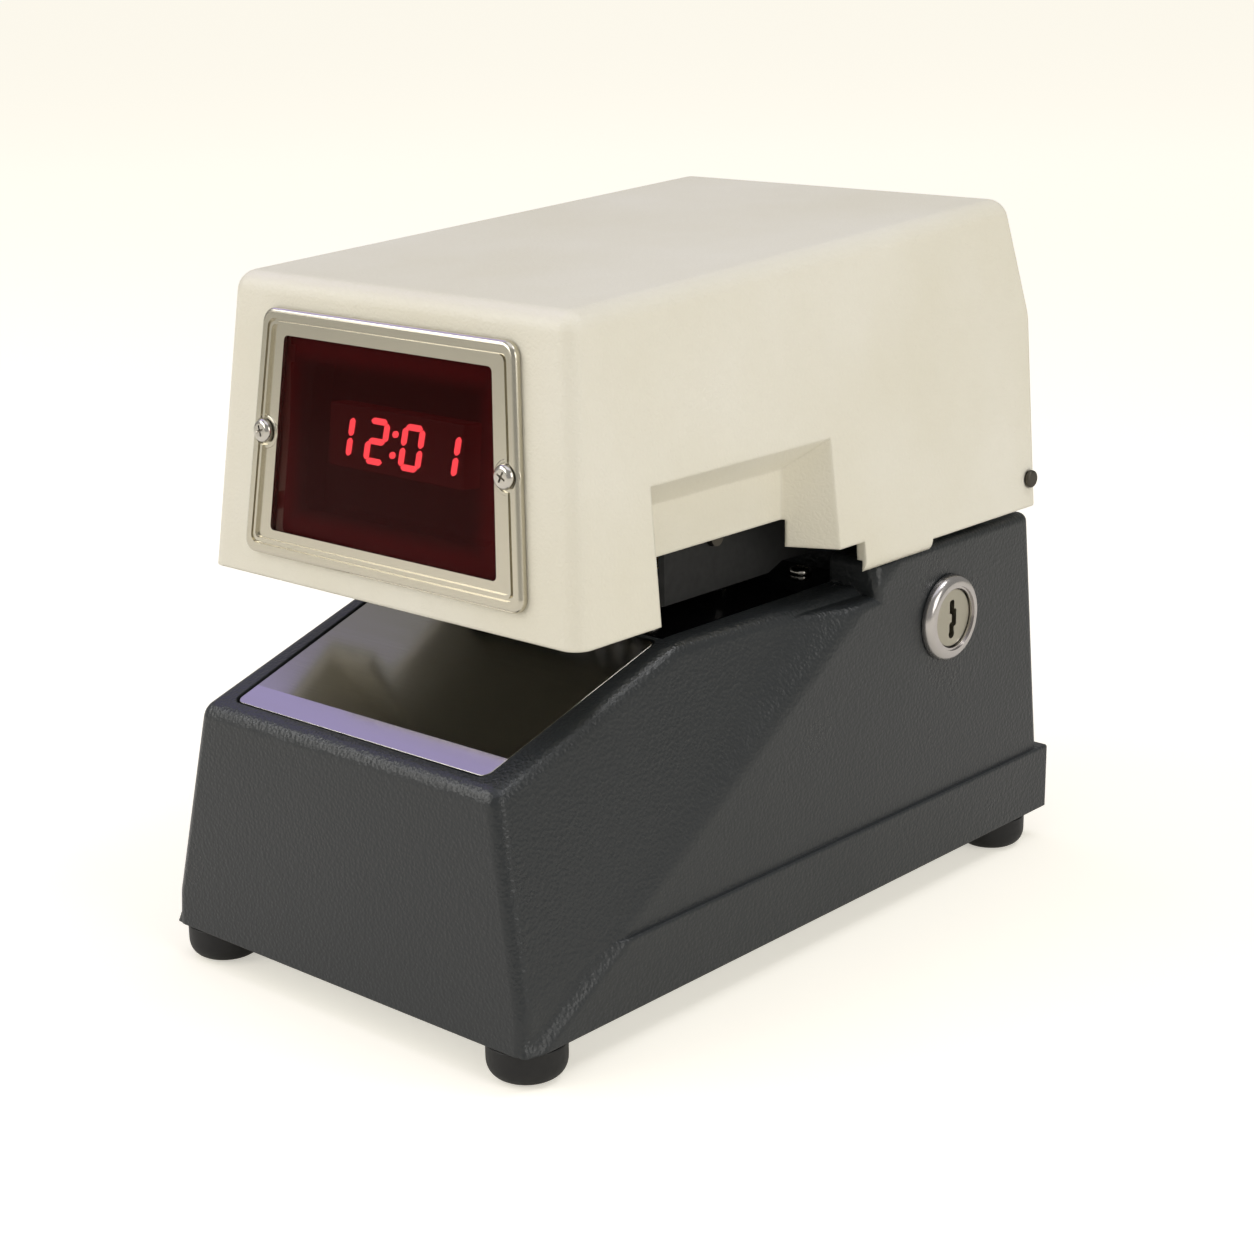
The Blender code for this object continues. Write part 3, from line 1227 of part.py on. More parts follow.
def make_hammer_arm():
    arm = block("arm", (-ARM_HALF_X, ARM_HALF_X), (WHEEL_Y - 4 * MM, SOLENOID_Y + 4 * MM), ARM_Z)
    head_x = (-PLATEN_HALF_X, PLATEN_HALF_X)
    head_y = (WHEEL_Y - PLATEN_HALF_Y, WHEEL_Y + PLATEN_HALF_Y)
    join(arm, block("head", head_x, head_y, (ARM_Z[0] + 0.5 * MM, PAD_Z[0] - GAP)))
    hub_x = ARM_HALF_X + 2 * MM
    join(arm, rod("hub", (0, PIVOT_Y, PIVOT_Z), "X", SHAFT_RADIUS + 3 * MM, -hub_x, hub_x, 16))
    cut(arm, rod("bore", (0, PIVOT_Y, PIVOT_Z), "X", BORE, -20 * MM, 20 * MM, 16))
    return named(arm, "hammer_arm", "steel", (0, PIVOT_Y, PIVOT_Z))


def make_platen_pad():
    x = (-PLATEN_HALF_X, PLATEN_HALF_X)
    y = (WHEEL_Y - PLATEN_HALF_Y, WHEEL_Y + PLATEN_HALF_Y)
    return named(block("pad", x, y, PAD_Z), "platen_pad", "rubber", (0, PIVOT_Y, PIVOT_Z))


def make_hammer_shaft():
    end = EAR_X[1] + 1.2 * MM
    shaft = rod("shaft", (0, PIVOT_Y, PIVOT_Z), "X", SHAFT_RADIUS, -end, end, 16)
    return named(shaft, "hammer_shaft", "bright")


def make_hammer_bracket():
    """Two ears under the throat, joined by a top plate; they carry the hammer shaft and the solenoid."""
    top = CREST_UNDER_Z - GAP
    rear = SOLENOID_Y + SOLENOID_HALF
    outline = [
        (DECK_START_Y - 12 * MM, top),
        (DECK_START_Y, top),
        (PIVOT_Y + 9 * MM, PIVOT_Z + 8 * MM),
        (rear, SOLENOID_TOP_Z),
        (rear, SOLENOID_LOW_Z),
        (SOLENOID_Y - SOLENOID_HALF, SOLENOID_LOW_Z),
        (PIVOT_Y - 6 * MM, PIVOT_Z - 10 * MM),
    ]
    bracket = prism("ear", outline, "X", *EAR_X)
    plate_y = (DECK_START_Y - 12 * MM, DECK_START_Y)
    join(bracket, block("plate", (-EAR_X[1], EAR_X[1]), plate_y, (top - 2 * MM, top)))
    join(bracket, prism("ear", outline, "X", -EAR_X[1], -EAR_X[0]))
    cut(bracket, rod("bore", (0, PIVOT_Y, PIVOT_Z), "X", SHAFT_RADIUS + GAP, -30 * MM, 30 * MM, 16))
    return named(bracket, "hammer_bracket", "steel")


def make_solenoid():
    half = SOLENOID_HALF
    y = (SOLENOID_Y - half, SOLENOID_Y + half)
    body = bevelled(block("solenoid", (-half, half), y, (SOLENOID_LOW_Z, SOLENOID_TOP_Z)), 1 * MM, 1)
    bore = rod("bore", (0, SOLENOID_Y, 0), "Z", PLUNGER_RADIUS + RUN, SOLENOID_LOW_Z + 8 * MM, 0.2, 24)
    cut(body, bore)
    return named(body, "solenoid", "copper")


def make_plunger():
    neck = PLUNGER_TOP_Z - 3.7 * MM
    profile = [
        (0.0, SOLENOID_LOW_Z + 12 * MM),
        (PLUNGER_RADIUS, SOLENOID_LOW_Z + 12 * MM),
        (PLUNGER_RADIUS, neck),
        (PLUNGER_RADIUS + 2.5 * MM, neck),
        (PLUNGER_RADIUS + 2.5 * MM, PLUNGER_TOP_Z),
        (0.0, PLUNGER_TOP_Z),
    ]
    plunger = turned("plunger", profile, (0, SOLENOID_Y, 0), "Z", 24)
    return named(plunger, "solenoid_plunger", "bright", (0, SOLENOID_Y, PLUNGER_TOP_Z))


def make_return_spring():
    """A compression spring between the solenoid and the plunger's head."""
    wire, radius, turns, steps = 0.5 * MM, PLUNGER_RADIUS + 1.2 * MM, 3.5, 14
    low, high = SPRING_Z[0] + wire, SPRING_Z[1] - wire
    curve = bpy.data.curves.new("spring", "CURVE")
    curve.dimensions = "3D"
    curve.bevel_depth = wire
    curve.bevel_resolution = 1
    curve.use_fill_caps = True
    line = curve.splines.new("POLY")
    count = int(turns * steps) + 1
    line.points.add(count - 1)
    for i in range(count):
        turn = math.tau * i / steps
        height = low + (high - low) * i / (count - 1)
        line.points[i].co = (radius * math.cos(turn), SOLENOID_Y + radius * math.sin(turn), height, 1.0)
    spring = bpy.data.objects.new("spring", curve)
    bpy.context.scene.collection.objects.link(spring)
    graph = bpy.context.evaluated_depsgraph_get()
    mesh = bpy.data.meshes.new_from_object(spring.evaluated_get(graph))
    bpy.data.objects.remove(spring)
    made = bpy.data.objects.new("spring", mesh)
    bpy.context.scene.collection.objects.link(made)
    return named(made, "return_spring", "steel")


make_hammer_arm()
make_platen_pad()
make_hammer_shaft()
make_hammer_bracket()
make_solenoid()
make_plunger()
make_return_spring()


# ---- Document trigger: a sprung lever through the throat, in the ears of its switch

def make_trigger_lever():
    x = (TRIGGER_X - 1.2 * MM, TRIGGER_X + 1.2 * MM)
    outline = [
        (TRIGGER_Y - 1.6 * MM, TRIGGER_Z - 7 * MM),
        (TRIGGER_Y + 1.6 * MM, TRIGGER_Z - 7 * MM),
        (TRIGGER_Y + 2.0 * MM, TRIGGER_Z + 3 * MM),
        (TRIGGER_Y + 0.6 * MM, SHIELD_Z - 0.9 * MM),
        (TRIGGER_Y - 0.6 * MM, SHIELD_Z - 0.9 * MM),
        (TRIGGER_Y - 2.0 * MM, TRIGGER_Z + 3 * MM),
    ]
    lever = prism("lever", outline, "X", *x)
    pin = rod("pin", (TRIGGER_X, TRIGGER_Y, TRIGGER_Z), "X", 1.5 * MM, -6.5 * MM, 6.5 * MM, 14)
    join(lever, pin)
    return named(lever, "trigger_lever", "steel", (TRIGGER_X, TRIGGER_Y, TRIGGER_Z))


def make_trigger_switch():
    top = CREST_UNDER_Z - GAP
    half = 9 * MM
    switch_y = (TRIGGER_Y + 11 * MM, TRIGGER_Y + 22 * MM)
    switch = block("switch", (TRIGGER_X - half, TRIGGER_X + half), switch_y, (TRIGGER_Z - 9 * MM, top))
    for side in (-1, 1):
        x = sorted((TRIGGER_X + side * 4 * MM, TRIGGER_X + side * 6 * MM))
        ear_y = (TRIGGER_Y - 4 * MM, switch_y[0] + 1 * MM)
        join(switch, block("ear", x, ear_y, (TRIGGER_Z - 4 * MM, top)))
    bore = rod("bore", (TRIGGER_X, TRIGGER_Y, TRIGGER_Z), "X", 1.5 * MM + RUN, -8 * MM, 8 * MM, 14)
    cut(switch, bore)
    return named(switch, "trigger_switch", "black")


make_trigger_lever()
make_trigger_switch()


# ---- Electronics on the bottom plate

def make_main_board():
    low = PLATE_THICK + 6 * MM + GAP
    board = block("board", (-50 * MM, 50 * MM), (22 * MM, 134 * MM), (low, low + BOARD_THICK))
    chips = ((-30, 60, 14, 8, 3), (10, 50, 22, 10, 3), (25, 100, 9, 9, 14), (-28, 105, 12, 16, 10))
    for x, y, half_x, half_y, height in chips:
        chip_x = ((x - half_x / 2) * MM, (x + half_x / 2) * MM)
        chip_y = ((y - half_y / 2) * MM, (y + half_y / 2) * MM)
        join(board, block("chip", chip_x, chip_y, (low + 1 * MM, low + BOARD_THICK + height * MM)))
    return named(board, "main_board", "board")


def make_transformer():
    """A laminated core standing on the bottom plate, with its winding through the middle."""
    inner = rear_half(0.0) - BASE_WALL - 4 * MM
    x, y = (-inner, -inner + 34 * MM), (BASE_LENGTH - 74 * MM, BASE_LENGTH - 30 * MM)
    low = PLATE_THICK + GAP
    core = block("core", x, y, (low, low + 38 * MM))
    winding_y = (y[0] + 9 * MM, y[1] - 9 * MM)
    winding_x = (x[0] - 3 * MM, x[1] + 5 * MM)
    join(core, bevelled(block("winding", winding_x, winding_y, (low + 6 * MM, low + 32 * MM)), 2 * MM, 1))
    return named(core, "transformer", "steel")


make_main_board()
make_transformer()
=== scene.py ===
import math

import bpy
from mathutils import Matrix, Vector


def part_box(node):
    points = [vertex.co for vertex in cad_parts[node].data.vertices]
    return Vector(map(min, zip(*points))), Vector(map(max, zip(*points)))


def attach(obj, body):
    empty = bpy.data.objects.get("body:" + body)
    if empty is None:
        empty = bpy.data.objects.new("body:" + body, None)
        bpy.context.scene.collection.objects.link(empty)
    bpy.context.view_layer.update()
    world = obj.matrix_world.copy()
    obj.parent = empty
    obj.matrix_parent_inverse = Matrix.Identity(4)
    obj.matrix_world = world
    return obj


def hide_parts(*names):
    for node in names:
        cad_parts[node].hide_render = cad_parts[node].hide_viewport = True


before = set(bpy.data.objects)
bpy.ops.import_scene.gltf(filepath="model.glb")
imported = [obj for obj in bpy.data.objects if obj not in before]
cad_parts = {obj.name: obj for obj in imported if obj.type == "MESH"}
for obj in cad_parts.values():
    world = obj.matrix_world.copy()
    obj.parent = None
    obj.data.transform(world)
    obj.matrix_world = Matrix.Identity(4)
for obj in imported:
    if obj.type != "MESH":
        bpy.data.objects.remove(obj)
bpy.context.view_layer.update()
MM = 0.001


# ---- Camera, table and studio light
# A long lens looks down on the clock's right front corner. A cool softbox above lights its top,
# warm ones its front and right faces, and two small white ones draw a glint along its edges.

camera_data = bpy.data.cameras.new("studio_camera")
camera_data.lens = 69.76
camera_data.sensor_width = 36.0
camera = bpy.data.objects.new("studio_camera", camera_data)
bpy.context.scene.collection.objects.link(camera)
bpy.context.scene.camera = camera
turn, rise, roll = math.radians(41.79), math.radians(16.32), math.radians(-0.74)
back = Vector((math.sin(turn) * math.cos(rise), -math.cos(turn) * math.cos(rise), math.sin(rise)))
level = Vector((math.cos(turn), math.sin(turn), 0.0))
upright = back.cross(level)
right = level * math.cos(roll) + upright * math.sin(roll)
up = upright * math.cos(roll) - level * math.sin(roll)
camera.matrix_world = Matrix.Translation((0.44767, -0.50230, 0.27869)) @ Matrix(
    (right, up, back)
).transposed().to_4x4()


def linear(colour):
    """An sRGB hex colour as the linear values that shaders and lights take."""
    parts = [int(colour[start:start + 2], 16) / 255 for start in (1, 3, 5)]
    return [part / 12.92 if part <= 0.04045 else ((part + 0.055) / 1.055) ** 2.4 for part in parts]


def softbox(name, place, size, watts, colour):
    """A square light panel that faces the middle of the clock."""
    panel = bpy.data.lights.new(name, "AREA")
    panel.shape = "SQUARE"
    panel.size = size
    panel.energy = watts
    panel.color = linear(colour)
    lamp = bpy.data.objects.new(name, panel)
    bpy.context.scene.collection.objects.link(lamp)
    aim = Vector((0.0, 0.0, 0.10)) - Vector(place)
    lamp.location = place
    lamp.rotation_euler = aim.to_track_quat("-Z", "Y").to_euler()


softbox("cool_back_box", (-0.98, 0.02, 1.20), 0.72, 1.5, "#B3A3FF")
softbox("overhead_box", (0.10, -0.10, 1.60), 1.4, 5.0, "#EFEFFF")
softbox("edge_box", (-1.05, -0.70, 1.05), 0.35, 2.0, "#FFFFFF")
softbox("front_left_box", (-0.90, -1.50, 0.95), 1.1, 12.0, "#FFFCF6")
softbox("rim_box", (0.60, 0.40, 1.35), 0.4, 3.2, "#FFFFFF")
softbox("right_box", (1.70, -0.10, 0.80), 1.0, 8.6, "#FFFCF6")

bpy.context.scene.view_settings.view_transform = "Standard"
world = bpy.data.worlds.new("studio_room")
bpy.context.scene.world = world
world.use_nodes = True
world.node_tree.nodes["Background"].inputs["Color"].default_value = [*linear("#FFFDF8"), 1.0]
world.node_tree.nodes["Background"].inputs["Strength"].default_value = 0.35

bpy.ops.object.select_all(action="DESELECT")
bpy.ops.mesh.primitive_plane_add(size=30.0, location=(0.0, 0.0, 0.0))
table_top = bpy.context.object
table_top.name = "table_top"


def add_node(material, kind, settings=None, inputs=None):
    """Adds a node to a material. Its inputs are values, or the sockets that feed them."""
    node = material.node_tree.nodes.new(kind)
    for name, value in (settings or {}).items():
        setattr(node, name, value)
    for name, value in (inputs or {}).items():
        if isinstance(value, bpy.types.NodeSocket):
            material.node_tree.links.new(value, node.inputs[name])
        else:
            node.inputs[name].default_value = value
    return node


def new_material(name, colour, roughness, metallic=0.0):
    """A material with one shader of an even colour, and that shader."""
    material = bpy.data.materials.new(name)
    material.use_nodes = True
    shader = material.node_tree.nodes["Principled BSDF"]
    shader.inputs["Base Color"].default_value = [*linear(colour), 1.0]
    shader.inputs["Roughness"].default_value = roughness
    shader.inputs["Metallic"].default_value = metallic
    return material, shader


def feed(material, output, shader, socket):
    material.node_tree.links.new(output, shader.inputs[socket])


# Seamless paper: matt, and lit from behind a little more as the lamps fall off towards its far edge.
paper, paper_shader = new_material("cream_background_paper", "#EDEAE1", 0.9)
paper_shader.inputs["Specular IOR Level"].default_value = 0.0
paper_shader.inputs["Emission Color"].default_value = [*linear("#FFFBF0"), 1.0]
where = add_node(paper, "ShaderNodeTexCoord").outputs["Object"]
reach = add_node(
    paper, "ShaderNodeVectorMath", {"operation": "LENGTH"}, {0: where},
).outputs["Value"]
glow = add_node(
    paper, "ShaderNodeMapRange", {"interpolation_type": "SMOOTHSTEP"},
    {"Value": reach, "From Min": 0.3, "From Max": 2.4, "To Min": 0.5, "To Max": 0.68},
).outputs["Result"]
# The camera sees the full glow, but only a quarter of it falls back on the clock's underside.
seen = add_node(paper, "ShaderNodeLightPath").outputs["Is Camera Ray"]
share = add_node(
    paper, "ShaderNodeMapRange", None, {"Value": seen, "To Min": 0.24, "To Max": 1.0},
).outputs["Result"]
shown = add_node(paper, "ShaderNodeMath", {"operation": "MULTIPLY"}, {0: glow, 1: share}).outputs["Value"]
feed(paper, shown, paper_shader, "Emission Strength")
table_top.data.materials.append(paper)


# ---- Base housing
# A die-cast shell, drafted in front and upright behind, with a plinth band round its foot.
# It is sprayed with a charcoal wrinkle paint, whose leather grain breaks up every highlight.



def middle_of(node):
    """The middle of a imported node's box."""
    low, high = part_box(node)
    return (low + high) / 2


base_low, base_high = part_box("base_housing")
corner = Vector((0.0, base_low.y, base_low.z))  # middle of the base's front lower edge
BASE_HALF = base_high.x
BASE_LENGTH = base_high.y - base_low.y
BAND_PROUD = 1.3 * MM
BAND_TOP = 20.0 * MM
DECK_Z = base_high.z - base_low.z
LIP = (4.2 * MM, 65.0 * MM)  # Y, Z of the front's upper edge
CREST = (72.8 * MM, 87.6 * MM)  # where the slope meets the level throat
SHOULDER_Y = 146.0 * MM
BACK_LEAN = 10.2 * MM
BASE_WALL = 2.8 * MM
THROAT_END_Y = 158.0 * MM


def plane_at(y, z, normal, x=0.0):
    """A plane through a point measured from the base's front lower edge, with its outward normal."""
    return corner + Vector((x, y, z)), Vector(normal).normalized()


def profile_plane(start, end):
    """The plane along X through two (Y, Z) points, facing left of the way from start to end."""
    return plane_at(*start, (0.0, start[1] - end[1], end[0] - start[0]))


def side_planes(half, flare, draft, z=0.0):
    """The two side walls of a body that flares with Y and narrows with Z."""
    return [plane_at(0.0, z, (side, -flare, draft), side * half) for side in (-1, 1)]


def inset(planes, distance):
    return [(point - normal * distance, normal) for point, normal in planes]


def cut_block(name, low, high):
    """A block between two corners, alone in the selection."""
    bpy.ops.object.select_all(action="DESELECT")
    low, high = Vector(low), Vector(high)
    bpy.ops.mesh.primitive_cube_add(size=1.0, location=(low + high) / 2)
    piece = bpy.context.object
    piece.name = piece.data.name = name
    piece.scale = high - low
    bpy.ops.object.transform_apply(location=True, rotation=True, scale=True)
    return piece


def base_block(name, low, high):
    """A block between two corners that are measured from the base's front lower edge."""
    return cut_block(name, corner + Vector(low), corner + Vector(high))


def cut_solid(name, planes):
    """A large block, sawn off along each plane in turn."""
    piece = cut_block(name, (-0.5, -0.5, -0.5), (0.5, 0.5, 0.5))
    bpy.ops.object.mode_set(mode="EDIT")
    for point, normal in planes:
        bpy.ops.mesh.select_all(action="SELECT")
        bpy.ops.mesh.bisect(plane_co=point, plane_no=normal, use_fill=True, clear_outer=True)
    bpy.ops.object.mode_set(mode="OBJECT")
    return piece


def apply_modifier(piece, kind, **settings):
    """Adds one modifier and applies it."""
    bpy.ops.object.select_all(action="DESELECT")
    bpy.context.view_layer.objects.active = piece
    piece.select_set(True)
    modifier = piece.modifiers.new(kind.lower(), kind)
    for name, value in settings.items():
        setattr(modifier, name, value)
    bpy.ops.object.modifier_apply(modifier=modifier.name)
    return piece


def round_edges(piece, width, segments, angle=30.0):
    return apply_modifier(
        piece, "BEVEL", width=width, segments=segments, limit_method="ANGLE",
        angle_limit=math.radians(angle), use_clamp_overlap=True, miter_outer="MITER_ARC",
    )


def carve(piece, *tools, operation="DIFFERENCE"):
    """Takes the tools out of the piece, or joins them to it, and throws them away."""
    for tool in tools:
        apply_modifier(piece, "BOOLEAN", object=tool, operation=operation, solver="EXACT")
        bpy.data.objects.remove(tool)
    return piece


def dress(piece, material, slot, body, *nodes, angle=35.0):
    """Gives a finished piece its shading, finish, body and the CAD nodes that it stands for."""
    bpy.ops.object.select_all(action="DESELECT")
    bpy.context.view_layer.objects.active = piece
    piece.select_set(True)
    bpy.ops.object.shade_smooth_by_angle(angle=math.radians(angle))
    apply_modifier(piece, "WEIGHTED_NORMAL", keep_sharp=True, weight=50)
    piece.data.materials.clear()
    piece.data.materials.append(material)
    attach(piece, body)
    if nodes:
        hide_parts(*nodes)
    return piece


def limit(axis, value, facing):
    """The plane square to an axis at a distance from the base's front lower edge."""
    offset = Vector((0.0, 0.0, 0.0))
    offset["XYZ".index(axis)] = 1.0
    return corner + offset * value, offset * facing


CREASE_ANGLE = math.radians(28.0)
CREASE_SLOPE = 0.6  # the crease climbs this much for each unit back
crease = []
for side in (-1, 1):
    step = math.tan(CREASE_ANGLE) / math.hypot(1.0, CREASE_SLOPE)
    leaning = (side, -CREASE_SLOPE * step, step)
    crease.append(plane_at(1.5 * MM, 0.0, leaning, side * (BASE_HALF - BAND_PROUD)))
face = profile_plane((0.0, 0.0), LIP)
slope = profile_plane(LIP, CREST)
back_wall = profile_plane((BASE_LENGTH - BAND_PROUD - BACK_LEAN, DECK_Z), (BASE_LENGTH - BAND_PROUD, 0.0))
drafted = side_planes(BASE_HALF, 0.065, 0.2042)
upright_sides = side_planes(BASE_HALF - BAND_PROUD, 0.0, 0.012)
below = limit("Z", -5.0 * MM, -1)
housing = cut_solid("housing_shell", [
    below, face, slope, *drafted, limit("Z", CREST[1], 1), limit("Y", SHOULDER_Y + 40 * MM, 1),
    *inset(upright_sides, 0.4 * MM),
])
round_edges(housing, 3.6 * MM, 6, 10.0)
rear_body = cut_solid("rear_body", [
    below, back_wall, *upright_sides, *crease, *inset([face, slope], 0.5 * MM),
    limit("Z", CREST[1] - 2 * MM, 1),
])
deck_body = cut_solid("deck_body", [
    limit("Z", CREST[1] - 30 * MM, -1), back_wall, *upright_sides, *crease, limit("Z", DECK_Z, 1),
    limit("Y", SHOULDER_Y, -1),
])
band_body = cut_solid("band_body", [
    below, *side_planes(BASE_HALF, 0.0, 0.0), *crease, *inset([face, slope], 0.5 * MM),
    limit("Z", BAND_TOP, 1), limit("Y", BASE_LENGTH, 1),
])
round_edges(rear_body, 3.5 * MM, 5, 20.0)
round_edges(deck_body, 3.0 * MM, 5, 20.0)
round_edges(band_body, 1.2 * MM, 4, 20.0)
carve(housing, rear_body, deck_body, band_body, operation="UNION")
carve(housing, base_block("under", (-0.1, -0.1, -0.1), (0.1, 0.4, 0.0)))
front_void = cut_solid("front_void", [
    below, *inset([face, *drafted, *upright_sides], BASE_WALL), *inset([slope], 4.5 * MM),
    limit("Z", CREST[1] - 4.5 * MM, 1), limit("Y", SHOULDER_Y + 35 * MM, 1),
])
rear_void = cut_solid("rear_void", [
    below, *inset([back_wall, *upright_sides, *crease, face, slope], BASE_WALL + 0.2 * MM),
    limit("Z", CREST[1] - 6.2 * MM, 1),
])
deck_void = cut_solid("deck_void", [
    limit("Z", CREST[1] - 29.5 * MM, -1), *inset([back_wall, *upright_sides], BASE_WALL),
    limit("Z", DECK_Z - 3 * MM, 1), limit("Y", THROAT_END_Y + BASE_WALL, -1),
])
carve(housing, front_void, rear_void, deck_void)
# The slope has a recess for the table plate, and the throat one for its black plate.
slope_angle = math.atan2(CREST[1] - LIP[1], CREST[0] - LIP[0])
slope_length = math.hypot(CREST[1] - LIP[1], CREST[0] - LIP[0])
ON_SLOPE = Matrix.Translation(corner + Vector((0.0, *LIP))) @ Matrix.Rotation(slope_angle, 4, "X")


def place(piece, matrix):
    """Sets a piece down and applies its place to its mesh."""
    bpy.ops.object.select_all(action="DESELECT")
    bpy.context.view_layer.objects.active = piece
    piece.select_set(True)
    piece.matrix_world = matrix @ piece.matrix_world
    bpy.ops.object.transform_apply(location=True, rotation=True, scale=True)
    return piece


def edit(piece, mode, wanted):
    """Opens a piece in edit mode with only the faces or edges that the test accepts selected."""
    bpy.ops.object.select_all(action="DESELECT")
    bpy.context.view_layer.objects.active = piece
    piece.select_set(True)
    bpy.ops.object.mode_set(mode="EDIT")
    bpy.ops.mesh.select_mode(type=mode)
    bpy.ops.mesh.select_all(action="DESELECT")
    bpy.ops.object.mode_set(mode="OBJECT")
    if mode == "FACE":
        for polygon in piece.data.polygons:
            polygon.select = wanted(polygon.center, polygon.normal)
    else:
        for line in piece.data.edges:
            first, second = (piece.data.vertices[index].co for index in line.vertices)
            line.select = wanted(first, second)
    bpy.ops.object.mode_set(mode="EDIT")


def bevel_where(piece, width, segments, wanted, **settings):
    """Rounds only the edges that the test accepts, or chamfers them when there is one segment."""
    edit(piece, "EDGE", wanted)
    bpy.ops.mesh.bevel(offset=width, segments=segments, affect="EDGES", **settings)
    bpy.ops.object.mode_set(mode="OBJECT")


def rounded_plate(name, front_half, rear_half, start, end, low, high, radius):
    """A flat plate, wider or narrower at its far end, with its four corners rounded in plan."""
    widest = max(front_half, rear_half)
    plate = cut_block(name, (-widest, start, low), (widest, end, high))
    lean = (rear_half - front_half) / (end - start)
    bpy.ops.object.mode_set(mode="EDIT")
    for side in (-1, 1):
        bpy.ops.mesh.select_all(action="SELECT")
        bpy.ops.mesh.bisect(
            plane_co=(side * front_half, start, 0.0), plane_no=(side, -lean, 0.0),
            use_fill=True, clear_outer=True,
        )
    bpy.ops.object.mode_set(mode="OBJECT")
    bevel_where(plate, radius, 6, lambda a, b: abs(a.z - b.z) > 0.5 * (high - low))
    return plate


TABLE_START, TABLE_END = 5.7 * MM, slope_length - 1.0 * MM
recess = rounded_plate(
    "table_recess", 47.35 * MM + 0.7 * MM, 49.0 * MM + 0.7 * MM, TABLE_START - 0.7 * MM,
    TABLE_END + 0.7 * MM, -1.6 * MM, 9 * MM, 3.0 * MM,
)
carve(housing, place(recess, ON_SLOPE))
throat_floor, above_deck = CREST[1] - 15 * MM, DECK_Z + 9 * MM
for name, low, high in (
    ("throat_recess", (-49.7 * MM, 73.8 * MM, CREST[1] - 1.6 * MM), (49.7 * MM, THROAT_END_Y, above_deck)),
    ("platen_window", (-23 * MM, 91 * MM, throat_floor), (23 * MM, 109 * MM, above_deck)),
    ("trigger_slot", (25 * MM, 119 * MM, throat_floor), (31 * MM, 134 * MM, above_deck)),
    ("cable_hole", (-34.5 * MM, 178 * MM, DECK_Z - 9 * MM), (-18 * MM, 196 * MM, above_deck)),
    ("latch_slot", (46 * MM, 166.7 * MM, DECK_Z - 9 * MM), (53.8 * MM, 183.5 * MM, above_deck)),
):
    carve(housing, base_block(name, low, high))
# The lock's hole through the right wall, and the inlet's opening through the back.
lock_centre = middle_of("lock_barrel")


def turned_rod(name, radius, start, end, matrix, vertices=64):
    """A rod along its own Z from start to end, set down by a matrix."""
    bpy.ops.object.select_all(action="DESELECT")
    bpy.ops.mesh.primitive_cylinder_add(
        vertices=vertices, radius=radius, depth=end - start, location=(0, 0, (start + end) / 2),
    )
    piece = bpy.context.object
    piece.name = piece.data.name = name
    return place(piece, matrix)


ON_RIGHT = Matrix.Rotation(math.radians(90), 4, "Y")
lock_on_axis = Matrix.Translation((0.0, lock_centre.y, lock_centre.z))
lock_at = lock_on_axis @ ON_RIGHT
carve(housing, turned_rod("lock_hole", 10.8 * MM, BASE_HALF - 20 * MM, BASE_HALF + 9 * MM, lock_at))
inlet_middle = middle_of("power_inlet")
back_angle = math.atan2(BACK_LEAN, DECK_Z)
inlet_y = BASE_LENGTH - BAND_PROUD - BACK_LEAN * (inlet_middle.z - corner.z) / DECK_Z
ON_BACK = Matrix.Translation(
    Vector((inlet_middle.x, corner.y + inlet_y, inlet_middle.z))
) @ Matrix.Rotation(back_angle, 4, "X")
opening = cut_block("inlet_opening", (-13.8 * MM, -12 * MM, -9.8 * MM), (13.8 * MM, 12 * MM, 9.8 * MM))
carve(housing, place(opening, ON_BACK))
FOOT_NAMES = ("front_left", "front_right", "rear_left", "rear_right")
for foot_name in FOOT_NAMES:
    middle = middle_of(f"foot_{foot_name}")
    at = Matrix.Translation((middle.x, middle.y, corner.z))
    boss = turned_rod("boss", 6.9 * MM, 1.8 * MM, 13.5 * MM, at, 32)
    carve(housing, boss, operation="UNION")
    carve(housing, turned_rod("boss_hole", 2.7 * MM, -1 * MM, 11.5 * MM, at, 24))

# Charcoal wrinkle paint: dark and satin, its 1 mm leather cells raised so that edges glitter.
charcoal, charcoal_shader = new_material("charcoal_wrinkle_paint", "#2C2F31", 0.42)
charcoal_shader.inputs["Specular IOR Level"].default_value = 0.45


def vary_gloss(material, shader, grain, low, high, stretch=(1.0, 1.0, 1.0)):
    """Lets the roughness wander between two values over a grain of a real size, and gives that pattern."""
    place_of = add_node(material, "ShaderNodeTexCoord").outputs["Object"]
    drawn = add_node(
        material, "ShaderNodeMapping", None,
        {"Vector": place_of, "Scale": [one_way / grain for one_way in stretch]},
    ).outputs["Vector"]
    wander = add_node(
        material, "ShaderNodeTexNoise", None, {"Vector": drawn, "Scale": 1.0, "Detail": 3.0},
    ).outputs["Fac"]
    rough = add_node(
        material, "ShaderNodeMapRange", None,
        {"Value": wander, "From Min": 0.3, "From Max": 0.7, "To Min": low, "To Max": high},
    ).outputs["Result"]
    feed(material, rough, shader, "Roughness")
    return wander


